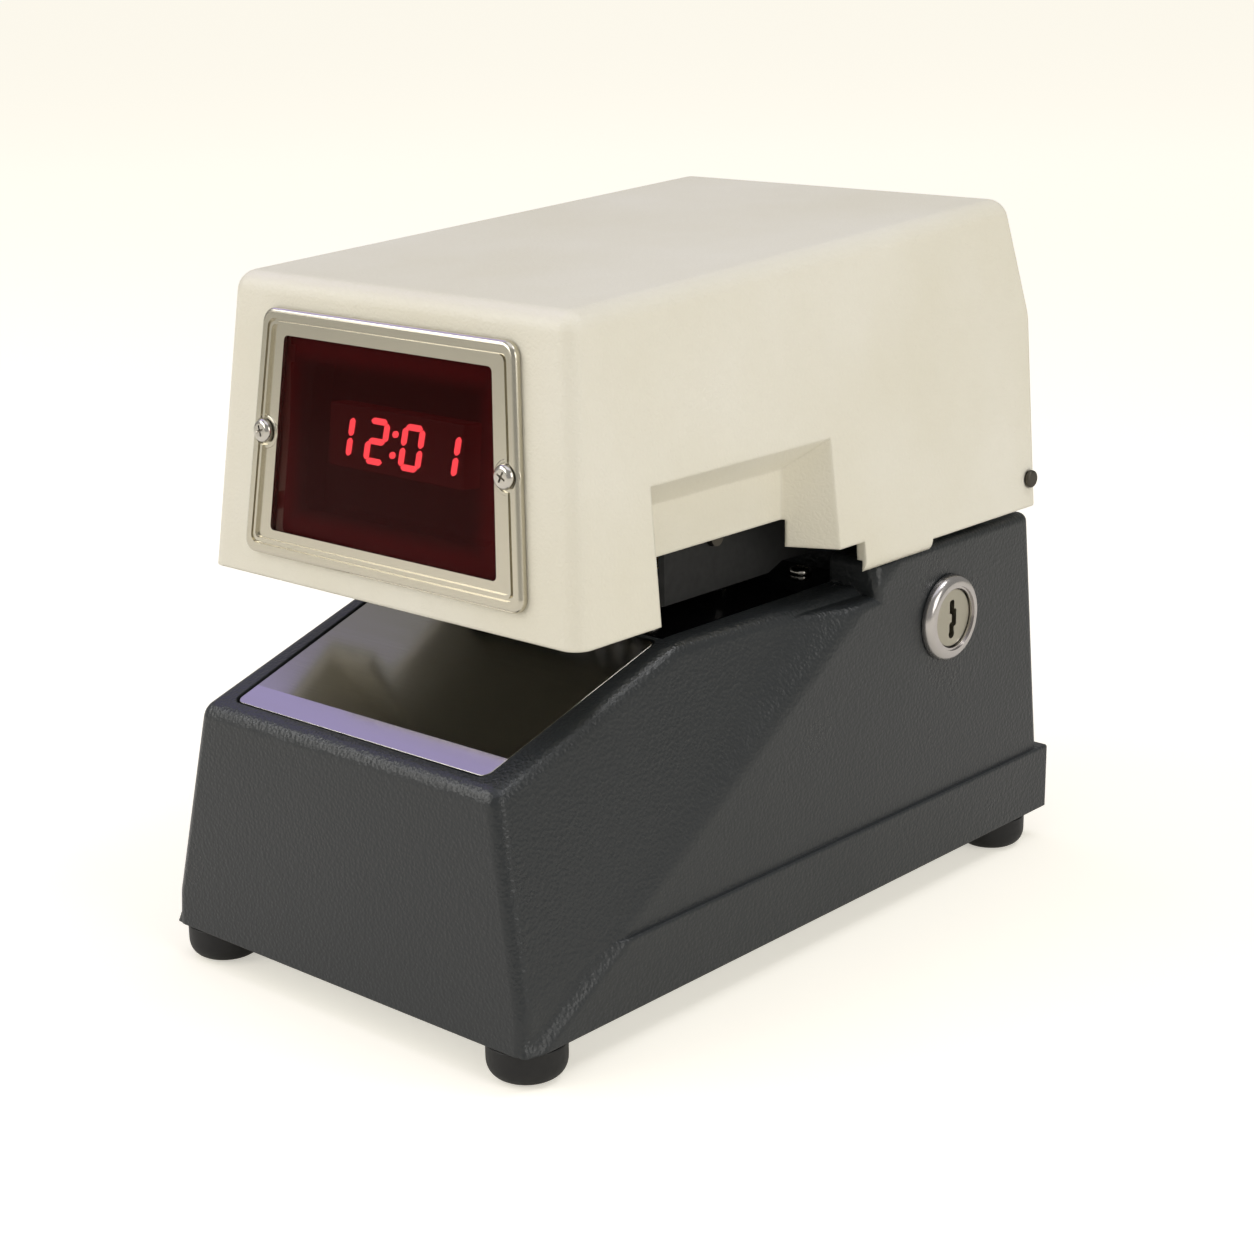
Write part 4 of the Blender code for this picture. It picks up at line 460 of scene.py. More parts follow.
GRAIN = 1.0 / (1.0 * MM)
where = add_node(charcoal, "ShaderNodeTexCoord").outputs["Object"]
cells = add_node(
    charcoal, "ShaderNodeTexVoronoi", {"feature": "SMOOTH_F1"},
    {"Vector": where, "Scale": GRAIN, "Smoothness": 0.6},
).outputs["Distance"]
fine = add_node(
    charcoal, "ShaderNodeTexNoise", None, {"Vector": where, "Scale": 2.2 * GRAIN, "Detail": 2.0},
).outputs["Fac"]
relief = add_node(
    charcoal, "ShaderNodeMath", {"operation": "MULTIPLY_ADD"}, {0: fine, 1: 0.45, 2: cells},
).outputs["Value"]
softened = add_node(charcoal, "ShaderNodeBevel", {"samples": 6}, {"Radius": 0.8 * MM}).outputs["Normal"]
raised = add_node(
    charcoal, "ShaderNodeBump", None,
    {"Height": relief, "Strength": 0.8, "Distance": 0.16 * MM, "Normal": softened},
).outputs["Normal"]
feed(charcoal, raised, charcoal_shader, "Normal")
vary_gloss(charcoal, charcoal_shader, 40 * MM, 0.26, 0.36)
dress(housing, charcoal, "housing", "base", "base_housing")


# ---- Bottom plate
# A zinc-plated sheet that closes the underside and carries the circuit board's posts.
# The plating gives a pale bluish metal with cloudy spangle.

zinc, zinc_shader = new_material("zinc_plated_sheet", "#B9BDC2", 0.38, 1.0)
where = add_node(zinc, "ShaderNodeTexCoord").outputs["Object"]
spangle = add_node(
    zinc, "ShaderNodeTexVoronoi", None, {"Vector": where, "Scale": 1.0 / (6.0 * MM)},
).outputs["Distance"]
gloss = add_node(
    zinc, "ShaderNodeMapRange", None, {"Value": spangle, "To Min": 0.28, "To Max": 0.46},
).outputs["Result"]
feed(zinc, gloss, zinc_shader, "Roughness")


def coat(material, *nodes):
    """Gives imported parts, whose shape is right, their finish."""
    for node in nodes:
        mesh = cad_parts[node].data
        mesh.materials.clear()
        mesh.materials.append(material)


coat(zinc, "bottom_plate")


# ---- Rubber feet
# Four moulded rubber feet with upright sides and a rolled tread, pushed into the corners.
# Satin black, with a faint bloom that softens their highlights.

rubber, rubber_shader = new_material("black_foot_rubber", "#0D0D0E", 0.42)
bloom = vary_gloss(rubber, rubber_shader, 1.5 * MM, 0.48, 0.56)
raised = add_node(
    rubber, "ShaderNodeBump", None, {"Height": bloom, "Strength": 0.2, "Distance": 0.05 * MM},
).outputs["Normal"]
feed(rubber, raised, rubber_shader, "Normal")


def copy_of(piece, name):
    """A copy with a mesh of its own."""
    twin = piece.copy()
    twin.data = piece.data.copy()
    twin.name = twin.data.name = name
    bpy.context.scene.collection.objects.link(twin)
    return twin


foot_low, foot_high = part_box("foot_front_left")
FOOT_RADIUS = (foot_high.x - foot_low.x) / 2
FOOT_TOP = corner.z - 0.3 * MM
foot = turned_rod("foot_pattern", FOOT_RADIUS, 0.0, FOOT_TOP, Matrix.Identity(4), 72)
bevel_where(foot, 5.4 * MM, 9, lambda a, b: max(a.z, b.z) < MM, profile=0.55)
bevel_where(foot, 0.5 * MM, 3, lambda a, b: min(a.z, b.z) > FOOT_TOP - 0.1 * MM)
# The tread has a small moulded dimple, and the stem pushes up into the base.
edit(foot, "FACE", lambda centre, normal: normal.z < -0.99 and centre.z < 0.1 * MM)
bpy.ops.mesh.inset(thickness=2.6 * MM)
bpy.ops.mesh.extrude_region_move(TRANSFORM_OT_translate={"value": (0.0, 0.0, 1.6 * MM)})
bpy.ops.object.mode_set(mode="OBJECT")
edit(foot, "FACE", lambda centre, normal: normal.z > 0.99 and centre.z > FOOT_TOP - 0.1 * MM)
bpy.ops.mesh.inset(thickness=FOOT_RADIUS - 3.0 * MM)
bpy.ops.mesh.extrude_region_move(TRANSFORM_OT_translate={"value": (0.0, 0.0, 10 * MM)})
bpy.ops.object.mode_set(mode="OBJECT")
for foot_name in FOOT_NAMES:
    middle = middle_of(f"foot_{foot_name}")
    copied = place(copy_of(foot, f"rubber_foot_{foot_name}"), Matrix.Translation((middle.x, middle.y, 0.0)))
    dress(copied, rubber, "rubber", "base", f"foot_{foot_name}")
bpy.data.objects.remove(foot)


# ---- Table plate
# A rectangle of 1 mm stainless steel let into the slope, its corners rounded and its rim broken.
# The sheet is brushed across its width, so reflections smear into soft bands.

brushed, brushed_shader = new_material("brushed_stainless_sheet", "#ABA8A2", 0.22, 1.0)
brushed_shader.inputs["Anisotropic"].default_value = 0.5
# Brush strokes 0.25 mm apart and 40 mm long, drawn coarser than real ones so that they show.
streaks = vary_gloss(brushed, brushed_shader, 0.25 * MM, 0.12, 0.2, (0.25 / 40, 1.0, 1.0))
# The front 8 mm is coined down by about 12 degrees, and mirrors what is above the nose.
STRIP_START, STRIP_END = 9.6 * MM, 17.6 * MM
where = add_node(brushed, "ShaderNodeTexCoord").outputs["Object"]
along = add_node(brushed, "ShaderNodeSeparateXYZ", None, {"Vector": where}).outputs["Y"]
rise = add_node(
    brushed, "ShaderNodeMapRange", None,
    {"Value": along, "From Min": corner.y + STRIP_START, "From Max": corner.y + STRIP_END},
).outputs["Result"]
coined = add_node(
    brushed, "ShaderNodeBump", None,
    {"Height": rise, "Strength": 1.0, "Distance": math.tan(math.radians(12.5)) * (STRIP_END - STRIP_START)},
).outputs["Normal"]
raised = add_node(
    brushed, "ShaderNodeBump", None,
    {"Height": streaks, "Strength": 0.12, "Distance": 0.02 * MM, "Normal": coined},
).outputs["Normal"]
feed(brushed, raised, brushed_shader, "Normal")
table_plate = rounded_plate(
    "stainless_table_plate", 47.35 * MM, 49.0 * MM, TABLE_START, TABLE_END, -1.3 * MM, -0.3 * MM, 2.4 * MM,
)
bevel_where(table_plate, 0.22 * MM, 3, lambda a, b: min(a.z, b.z) > -0.4 * MM)
place(table_plate, ON_SLOPE)
dress(table_plate, brushed, "steel", "base", "table_plate")


# ---- Throat plate
# A gloss-black enamelled steel plate under the print head, open over the platen and the trigger.
# Enamel gives deep black with sharp, faintly wavy reflections.

enamel, enamel_shader = new_material("black_gloss_enamel", "#0B0B0C", 0.13)
enamel_shader.inputs["Coat Weight"].default_value = 0.3
where = add_node(enamel, "ShaderNodeTexCoord").outputs["Object"]
waves = add_node(
    enamel, "ShaderNodeTexNoise", None, {"Vector": where, "Scale": 1.0 / (4.0 * MM), "Detail": 2.0},
).outputs["Fac"]
raised = add_node(
    enamel, "ShaderNodeBump", None, {"Height": waves, "Strength": 0.15, "Distance": 0.1 * MM},
).outputs["Normal"]
feed(enamel, raised, enamel_shader, "Normal")
coat(enamel, "throat_plate", "ribbon_shield")


# ---- Pan-head screws
# Cross-recess pan heads in bright nickel plate hold the throat plate, the bezel and the inlet.
# One is turned and its cross punched, and the rest are copies of it.



def finish(name, colour, metallic, grain, low, high, stretch=(1.0, 1.0, 1.0)):
    """An even colour whose gloss wanders between two roughnesses, over a grain of a real size."""
    material, shader = new_material(name, colour, low, metallic)
    vary_gloss(material, shader, grain, low, high, stretch)
    return material


# Bright nickel mirrors the room, with a faint haze where the plating was left unbuffed.
nickel = finish("bright_nickel_plate", "#CFCBC4", 1.0, 0.8 * MM, 0.13, 0.19)
HEAD_RADIUS, HEAD_HEIGHT, SHANK_RADIUS = 3.2 * MM, 1.9 * MM, 1.5 * MM
screw = turned_rod("screw_pattern", HEAD_RADIUS, 0.0, HEAD_HEIGHT, Matrix.Identity(4), 48)
bevel_where(screw, 1.35 * MM, 8, lambda a, b: min(a.z, b.z) > HEAD_HEIGHT - 0.1 * MM)
for across, along in ((2.0 * MM, 0.36 * MM), (0.36 * MM, 2.0 * MM)):
    punch = cut_block("cross_punch", (-across, -along, 0.6 * MM), (across, along, 4 * MM))
    edit(punch, "FACE", lambda centre, normal: normal.z < -0.9)
    bpy.ops.transform.resize(value=(0.62, 0.62, 1.0))
    bpy.ops.object.mode_set(mode="OBJECT")
    carve(screw, punch)
round_edges(screw, 0.08 * MM, 2, 50.0)
edit(screw, "FACE", lambda centre, normal: normal.z < -0.99 and centre.z < 0.1 * MM)
bpy.ops.mesh.inset(thickness=HEAD_RADIUS - SHANK_RADIUS)
bpy.ops.mesh.extrude_region_move(TRANSFORM_OT_translate={"value": (0.0, 0.0, -5 * MM)})
bpy.ops.object.mode_set(mode="OBJECT")


def drive_screw(name, node, body, facing, spin):
    """Copies the screw to where a packed one sits, head outwards, its cross at its own angle."""
    middle = middle_of(node)
    outward = facing @ Vector((0.0, 0.0, 1.0))
    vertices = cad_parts[node].data.vertices
    reach = max(abs((Vector(vertex.co) - middle).dot(outward)) for vertex in vertices)
    seat = middle + outward * (reach - HEAD_HEIGHT)
    matrix = Matrix.Translation(seat) @ facing @ Matrix.Rotation(math.radians(spin), 4, "Z")
    return dress(place(copy_of(screw, name), matrix), nickel, "bright", body, node)


for index, spin in enumerate((12.0, 57.0, 31.0, 80.0), 1):
    drive_screw(f"throat_plate_screw_{index}", f"throat_screw_{index}", "base", Matrix.Identity(4), spin)


# ---- Top cover
# A structural-foam moulding, 3 mm thick, that hinges at the back and overhangs the table as a nose.
# Moulded in ivory with a leather texture from the tool, so its satin skin glints along each edge.

COVER_HALF, COVER_DRAFT, COVER_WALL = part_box("top_cover")[1].x, 0.0885, 3.0 * MM
NOSE_LOW = (20.9 * MM, 99.2 * MM)
TOP_FRONT = (28.3 * MM, 179.4 * MM)
TOP_REAR = (215.7 * MM, 189.3 * MM)
BACK_BREAK = (225.9 * MM, 155.1 * MM)
BACK_LOW = (224.7 * MM, 98.5 * MM)
NOSE_REAR_Y = 51.6 * MM
NOTCH_LOW_Z, NOTCH_TOP_Z, NOTCH_REAR_Y, NOTCH_DEPTH = 111.5 * MM, 136.0 * MM, 125.5 * MM, 14.0 * MM


def cover_half(z):
    return COVER_HALF - COVER_DRAFT * (z - NOSE_LOW[1])


outside = [
    profile_plane(NOSE_LOW, TOP_FRONT), profile_plane(TOP_FRONT, TOP_REAR),
    profile_plane(TOP_REAR, BACK_BREAK), profile_plane(BACK_BREAK, BACK_LOW),
    *side_planes(COVER_HALF, 0.0, COVER_DRAFT, NOSE_LOW[1]),
]
shell = cut_solid("ivory_cover", [*outside, limit("Z", 94 * MM, -1)])
round_edges(shell, 5.0 * MM, 8, 8.0)
hollow = cut_solid("cover_void", [*inset(outside, COVER_WALL), limit("Z", 85 * MM, -1)])
round_edges(hollow, 2.5 * MM, 3, 8.0)


def notch_space(side, grow):
    """The space of a finger notch: upright inner wall, slanting roof and slanting rear."""
    inner = cover_half(NOTCH_LOW_Z) - NOTCH_DEPTH
    rear_at = (NOTCH_REAR_Y, NOTCH_TOP_Z)
    walls = [
        plane_at(0.0, 0.0, (-side, 0.0, 0.0), side * inner),
        plane_at(*rear_at, (-side * 10.5 * MM, 0.0, NOTCH_DEPTH), side * (inner + NOTCH_DEPTH)),
        plane_at(*rear_at, (-side * 7.0 * MM, NOTCH_DEPTH, 0.0), side * (inner + NOTCH_DEPTH)),
        limit("Y", NOSE_REAR_Y, -1),
    ]
    return cut_solid("notch", [*inset(walls, -grow), limit("Z", 0.0, -1), limit("X", side * 0.2, side)])


for side in (-1, 1):
    carve(shell, notch_space(side, 0.0))
    carve(hollow, notch_space(side, COVER_WALL))
carve(shell, hollow)


def clear_below(name, half, start, end, z):
    """Takes away everything under a height between two distances from the front."""
    return base_block(name, (-half, start, 0.0), (half, end, z))


carve(
    shell,
    clear_below("under_nose", 0.2, -0.1, NOSE_REAR_Y + COVER_WALL, NOSE_LOW[1]),
    clear_below(
        "under_notch_walls", cover_half(NOTCH_LOW_Z) - NOTCH_DEPTH + 1 * MM, NOSE_REAR_Y,
        NOTCH_REAR_Y + 6 * MM, NOTCH_LOW_Z,
    ),
    clear_below("under_cheeks", 0.2, NOSE_REAR_Y + 1 * MM, 137 * MM, 104 * MM),
    clear_below("under_rear", 0.2, 169 * MM, 0.4, BACK_LOW[1]),
    clear_below("between_tabs", cover_half(94 * MM) - 1.7 * MM, 128 * MM, 178 * MM, BACK_LOW[1]),
)
# The rims of the nose, notches and tabs are broken with a small radius.
apply_modifier(shell, "WELD", merge_threshold=0.02 * MM)
round_edges(shell, 0.7 * MM, 3, 38.0)
# Holes for the hinge pins, slots that swing past the hinge brackets, and the display's opening.
hinge = middle_of("hinge_pin_right")
hinge_at = Matrix.Translation((0.0, hinge.y, hinge.z)) @ ON_RIGHT
carve(shell, turned_rod("pin_holes", 2.3 * MM, -0.1, 0.1, hinge_at, 32))
for bracket in ("hinge_bracket_left", "hinge_bracket_right"):
    bracket_low, bracket_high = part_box(bracket)
    outer = max(bracket_low.x, bracket_high.x, key=abs)
    near, far = sorted((outer + math.copysign(1.0 * MM, outer), outer - math.copysign(3.2 * MM, outer)))
    behind_hinge = (near, hinge.y + 1 * MM, 0.0), (far, corner.y + 0.5, hinge.z + 7 * MM)
    carve(shell, cut_block("bracket_slot", *behind_hinge))
FACE_LEAN = math.atan2(TOP_FRONT[0] - NOSE_LOW[0], TOP_FRONT[1] - NOSE_LOW[1])
DISPLAY_Z = 138.7 * MM
ON_FACE = Matrix.Translation(
    corner + Vector((0.0, NOSE_LOW[0] + (DISPLAY_Z - NOSE_LOW[1]) * math.tan(FACE_LEAN), DISPLAY_Z))
) @ Matrix.Rotation(-FACE_LEAN, 4, "X")
FACE_DOWN = Matrix.Rotation(math.radians(90), 4, "X")  # a plate made flat, with +Z out, stood on the face


def window_plate(name, top, low, height, grow, back_z, front_z, radius):
    """A flat plate in the display's outline, wider below, on its back, with rounded corners."""
    lean = (low - top) / (2 * height)
    half = height / 2 + grow
    middle = (low + top) / 4 + grow
    widths = (middle + lean * half, middle - lean * half)
    return rounded_plate(name, *widths, -half, half, back_z, front_z, radius)


BEZEL = (91.6 * MM, 104.2 * MM, 66.0 * MM)  # widths at the top and bottom, and height
WINDOW = (75.9 * MM, 84.5 * MM, 52.2 * MM)
display_hole = window_plate("display_hole", *WINDOW, 2.8 * MM, -9 * MM, 9 * MM, 1.5 * MM)
carve(shell, place(display_hole, ON_FACE @ FACE_DOWN))
# The posts that carry the display board stand on the back of the face.
POST_HALF, POST_END = 2 * MM, 11.7 * MM
for side, row in ((-1, 1), (1, 1), (-1, -1), (1, -1)):
    post_x, post_z = side * (47.75 - row * 2.25) * MM, row * 20.1 * MM
    post = cut_block(
        "board_post", (post_x - POST_HALF, 1 * MM, post_z - POST_HALF),
        (post_x + POST_HALF, POST_END, post_z + POST_HALF),
    )
    carve(shell, place(post, ON_FACE), operation="UNION")

# Ivory structural foam: warm off-white satin, with the 1.3 mm pebbles and creases of a leather mould.
ivory, ivory_shader = new_material("ivory_leather_grain_plastic", "#E9E6D6", 0.4)
ivory_shader.inputs["Specular IOR Level"].default_value = 0.5
where = add_node(ivory, "ShaderNodeTexCoord").outputs["Object"]
sway = add_node(
    ivory, "ShaderNodeTexNoise", None, {"Vector": where, "Scale": 1.0 / (2.5 * MM), "Detail": 2.0},
).outputs["Color"]
wander = add_node(
    ivory, "ShaderNodeMixRGB", {"blend_type": "LINEAR_LIGHT"},
    {"Fac": 0.0012, "Color1": where, "Color2": sway},
).outputs["Color"]
creases = add_node(
    ivory, "ShaderNodeTexVoronoi", {"feature": "DISTANCE_TO_EDGE"},
    {"Vector": wander, "Scale": 1.0 / (1.5 * MM)},
).outputs["Distance"]
furrow = add_node(
    ivory, "ShaderNodeMapRange", {"interpolation_type": "SMOOTHSTEP"},
    {"Value": creases, "From Min": 0.0, "From Max": 0.35},
).outputs["Result"]
pores = add_node(
    ivory, "ShaderNodeTexNoise", None, {"Vector": where, "Scale": 1.0 / (0.9 * MM), "Detail": 3.0},
).outputs["Fac"]
relief = add_node(
    ivory, "ShaderNodeMath", {"operation": "MULTIPLY_ADD"}, {0: furrow, 1: 0.5, 2: pores},
).outputs["Value"]
softened = add_node(ivory, "ShaderNodeBevel", {"samples": 6}, {"Radius": 1.3 * MM}).outputs["Normal"]
raised = add_node(
    ivory, "ShaderNodeBump", None,
    {"Height": relief, "Strength": 0.5, "Distance": 0.16 * MM, "Normal": softened},
).outputs["Normal"]
feed(ivory, raised, ivory_shader, "Normal")
age = add_node(
    ivory, "ShaderNodeTexNoise", None, {"Vector": where, "Scale": 14.0, "Detail": 4.0},
).outputs["Fac"]
toned = add_node(ivory, "ShaderNodeValToRGB", None, {"Fac": age})
toned.color_ramp.elements[0].position = 0.35
toned.color_ramp.elements[0].color = [*linear("#E7E2D0"), 1.0]
toned.color_ramp.elements[1].position = 0.65
toned.color_ramp.elements[1].color = [*linear("#EDE9DB"), 1.0]
feed(ivory, toned.outputs["Color"], ivory_shader, "Base Color")
dress(shell, ivory, "cover", "cover", "top_cover", angle=28.0)


# ---- Display bezel
# A frame pressed from satin stainless: a rolled rim, a groove and a thin bead round a flat border.
# It is held by a screw in each side limb, and the beads break round the screw heads.

# Satin strokes across the width, 0.3 mm apart and 30 mm long, draw each glint out sideways.
satin = finish("satin_stainless_pressing", "#CCC7B8", 1.0, 0.3 * MM, 0.22, 0.25, (0.01, 1.0, 1.0))
bezel = window_plate("bezel_frame", *BEZEL, 0.0, 0.3 * MM, 2.4 * MM, 4.0 * MM)
bevel_where(bezel, 1.3 * MM, 7, lambda a, b: min(a.z, b.z) > 2.3 * MM)
groove = window_plate("bezel_groove", *BEZEL, -2.7 * MM, 1.5 * MM, 9 * MM, 2.4 * MM)
carve(groove, window_plate("bezel_bead", *BEZEL, -3.5 * MM, MM, 10 * MM, 1.9 * MM))
carve(bezel, groove)
carve(bezel, window_plate("bezel_border", *BEZEL, -4.3 * MM, 1.55 * MM, 9 * MM, 1.4 * MM))
sight = window_plate("bezel_sight", *WINDOW, 0.0, -9 * MM, 9 * MM, 1.4 * MM)
carve(bezel, sight)
BEZEL_SCREW_X = (BEZEL[0] + BEZEL[1] + WINDOW[0] + WINDOW[1]) / 8
for side in (-1, 1):
    at = Matrix.Translation((side * BEZEL_SCREW_X, 0.0, 0.0))
    collar = turned_rod("screw_collar", 4.6 * MM, 0.6 * MM, 1.85 * MM, at, 48)
    round_edges(collar, 0.45 * MM, 4, 50.0)
    carve(bezel, collar, operation="UNION")
    carve(bezel, turned_rod("screw_seat", 3.7 * MM, 1.25 * MM, 9 * MM, at, 48))
    carve(bezel, turned_rod("screw_hole", 1.8 * MM, -9 * MM, 9 * MM, at, 32))
apply_modifier(bezel, "WELD", merge_threshold=0.01 * MM)
round_edges(bezel, 0.22 * MM, 3, 45.0)
place(bezel, ON_FACE @ FACE_DOWN)
dress(bezel, satin, "bright", "cover", "display_bezel", angle=40.0)
FACE_OUT = ON_FACE.to_3x3().to_4x4() @ FACE_DOWN
drive_screw("bezel_screw_at_left", "bezel_screw_left", "cover", FACE_OUT, 20.0)
drive_screw("bezel_screw_at_right", "bezel_screw_right", "cover", FACE_OUT, 65.0)


# ---- Display lens
# A 2 mm filter of deep red acrylic behind the bezel, so dark that only the lit bars show through.
# Its base colour is painted lighter and redder along the rim, as painted light for the light that scatters
# inside the sheet and comes out at its edges.

filter_red, filter_shader = new_material("deep_red_acrylic_filter", "#2E0506", 0.1)
filter_shader.inputs["IOR"].default_value = 1.25
filter_shader.inputs["Specular Tint"].default_value = [*linear("#D05048"), 1.0]
filter_shader.inputs["Alpha"].default_value = 0.6
where = add_node(filter_red, "ShaderNodeTexCoord").outputs["Object"]
across = add_node(filter_red, "ShaderNodeSeparateXYZ", None, {"Vector": where})
off_middle = add_node(
    filter_red, "ShaderNodeMath", {"operation": "SUBTRACT"},
    {0: across.outputs["Z"], 1: corner.z + DISPLAY_Z},
).outputs["Value"]
# Masks for the painted rim light, rising over a few mm towards each edge of the filter.
painted_rim_masks = []
for distance, inner, outer in (
    (off_middle, 18.0 * MM, 23.5 * MM), (across.outputs["X"], 31.0 * MM, 38.0 * MM),
):
    away = add_node(
        filter_red, "ShaderNodeMath", {"operation": "ABSOLUTE"}, {0: distance},
    ).outputs["Value"]
    painted_rim_masks.append(add_node(
        filter_red, "ShaderNodeMapRange", {"interpolation_type": "SMOOTHSTEP"},
        {"Value": away, "From Min": inner, "From Max": outer},
    ).outputs["Result"])
painted_rim_light = add_node(
    filter_red, "ShaderNodeMath", {"operation": "MAXIMUM"}, {0: painted_rim_masks[0], 1: painted_rim_masks[1]},
).outputs["Value"]
# Painted rim light: the base colour goes from dark red in the middle to a lighter red at the rim.
painted_rim_glow = add_node(
    filter_red, "ShaderNodeMixRGB", None,
    {"Fac": painted_rim_light, "Color1": [*linear("#260505"), 1.0], "Color2": [*linear("#42080A"), 1.0]},
).outputs["Color"]
feed(filter_red, painted_rim_glow, filter_shader, "Base Color")
lens = window_plate("red_display_filter", *WINDOW, 2.5 * MM, -2.0 * MM, 0.0, 1.5 * MM)
round_edges(lens, 0.2 * MM, 2, 50.0)
place(lens, ON_FACE @ FACE_DOWN)
dress(lens, filter_red, "lens", "cover", "display_lens")


# ---- Display mask
# A black card tray behind the filter, open in the middle for the digit block, hides the board; it is a dark
# sheet put in as painted shade behind the filter.
# Its rim stands close behind the filter, so it shows as a redder border round the dark middle.

mask_card, mask_shader = new_material("black_card_painted_shade", "#2A1C1B", 0.85)
where = add_node(mask_card, "ShaderNodeTexCoord").outputs["Object"]
fibres = add_node(
    mask_card, "ShaderNodeTexNoise", None, {"Vector": where, "Scale": 1.0 / (0.6 * MM), "Detail": 2.0},
).outputs["Fac"]
felted = add_node(
    mask_card, "ShaderNodeBump", None, {"Height": fibres, "Strength": 0.3, "Distance": 0.05 * MM},
).outputs["Normal"]
feed(mask_card, felted, mask_shader, "Normal")
mask = window_plate("display_mask", *WINDOW, 1.5 * MM, -11.6 * MM, -4.0 * MM, 2.0 * MM)
carve(mask, window_plate("mask_well", *WINDOW, -6.5 * MM, -11.0 * MM, 9 * MM, 3.0 * MM))
place(mask, ON_FACE @ FACE_DOWN)
dress(mask, mask_card, "black", "cover")


# ---- Digit block
# A moulded block of four seven-bar digits behind the filter, reading 12:01.
# Each lit bar is a small lozenge of clear plastic over a red diode.

DIGIT_HEIGHT, DIGIT_WIDTH, DIGIT_PITCH, BAR_THICK = 10.6 * MM, 6.2 * MM, 13.0 * MM, 1.6 * MM
DIGIT_SLANT = math.tan(math.radians(9.5))
BLOCK_FRONT = 5.0 * MM  # from the cover's outer face
block_half = (2 * DIGIT_PITCH - 1 * MM, DIGIT_HEIGHT / 2 + 3.0 * MM)
ON_BLOCK = ON_FACE @ Matrix.Translation((-2.0 * MM, 0.0, 1.4 * MM)) @ FACE_DOWN
digit_block = cut_block(
    "digit_block", (-block_half[0], -block_half[1], -11.7 * MM), (*block_half, -BLOCK_FRONT),
)
round_edges(digit_block, 0.6 * MM, 3)
smoked, smoked_shader = new_material("smoked_digit_block_painted_glow", "#1A0A0A", 0.35)
vary_gloss(smoked, smoked_shader, 1.2 * MM, 0.33, 0.4)
# The block's faint red emission is a painted glow: the block is no lamp, and the glow stands in for diode
# light scattered round the digits.
smoked_shader.inputs["Emission Color"].default_value = [*linear("#A01018"), 1.0]
smoked_shader.inputs["Emission Strength"].default_value = 0.22
place(digit_block, ON_BLOCK)
dress(digit_block, smoked, "digits", "cover", "digit_module")

lit, lit_shader = new_material("lit_red_diode_bar", "#FF2430", 0.4)
lit_shader.inputs["Emission Color"].default_value = [*linear("#FF484F"), 1.0]
lit_shader.inputs["Emission Strength"].default_value = 6.5
# One bar, along X, pointed at both ends.
bar = cut_block(
    "bar_pattern", (-DIGIT_HEIGHT / 4 + 0.32 * MM, -BAR_THICK / 2, -BLOCK_FRONT - 0.2 * MM),
    (DIGIT_HEIGHT / 4 - 0.32 * MM, BAR_THICK / 2, -BLOCK_FRONT + 0.5 * MM),
)
bevel_where(bar, 0.42 * BAR_THICK, 1, lambda a, b: abs(a.z - b.z) > 0.3 * MM)
half_x, half_y = DIGIT_WIDTH / 2, DIGIT_HEIGHT / 4
BARS = {
    "a": (0.0, 2 * half_y, False), "b": (half_x, half_y, True), "c": (half_x, -half_y, True),
    "d": (0.0, -2 * half_y, False), "e": (-half_x, -half_y, True), "f": (-half_x, half_y, True),
    "g": (0.0, 0.0, False),
}
slant = Matrix(((1, DIGIT_SLANT, 0, 0), (0, 1, 0, 0), (0, 0, 1, 0), (0, 0, 0, 1)))
lit_bars = []
for slot_place, digit_bars in ((-1.5, "bc"), (-0.5, "abged"), (0.5, "abcdef"), (1.5, "bc")):
    for letter in digit_bars:
        x, y, upright_bar = BARS[letter]
        one = copy_of(bar, "lit_bar")
        stretched = 1.0 if upright_bar else DIGIT_WIDTH / (DIGIT_HEIGHT / 2)
        one.data.transform(Matrix.Scale(stretched, 4, (1, 0, 0)))
        one.data.transform(Matrix.Rotation(math.radians(90.0 if upright_bar else 0.0), 4, "Z"))
        one.data.transform(slant @ Matrix.Translation((x + slot_place * DIGIT_PITCH, y, 0.0)))
        lit_bars.append(one)
for height in (-0.26 * DIGIT_HEIGHT, 0.26 * DIGIT_HEIGHT):
    dot = turned_rod(
        "colon_dot", 0.9 * MM, -BLOCK_FRONT - 0.2 * MM, -BLOCK_FRONT + 0.5 * MM, Matrix.Identity(4), 20,
    )
    dot.data.transform(slant @ Matrix.Translation((0.0, height, 0.0)))
    lit_bars.append(dot)
bpy.data.objects.remove(bar)
bpy.ops.object.select_all(action="DESELECT")
for one in lit_bars:
    one.select_set(True)
bpy.context.view_layer.objects.active = lit_bars[0]
bpy.ops.object.join()
lit_digits = bpy.context.object
lit_digits.name = lit_digits.data.name = "lit_digits_12_01"
place(lit_digits, ON_BLOCK)
dress(lit_digits, lit, "digits", "cover")


# ---- Cover hinge
# Two zinc-plated brackets stand on the base's deck, hooked back through slots in the cover.
# A headed steel pin on each side goes through the cover's cheek into its bracket.

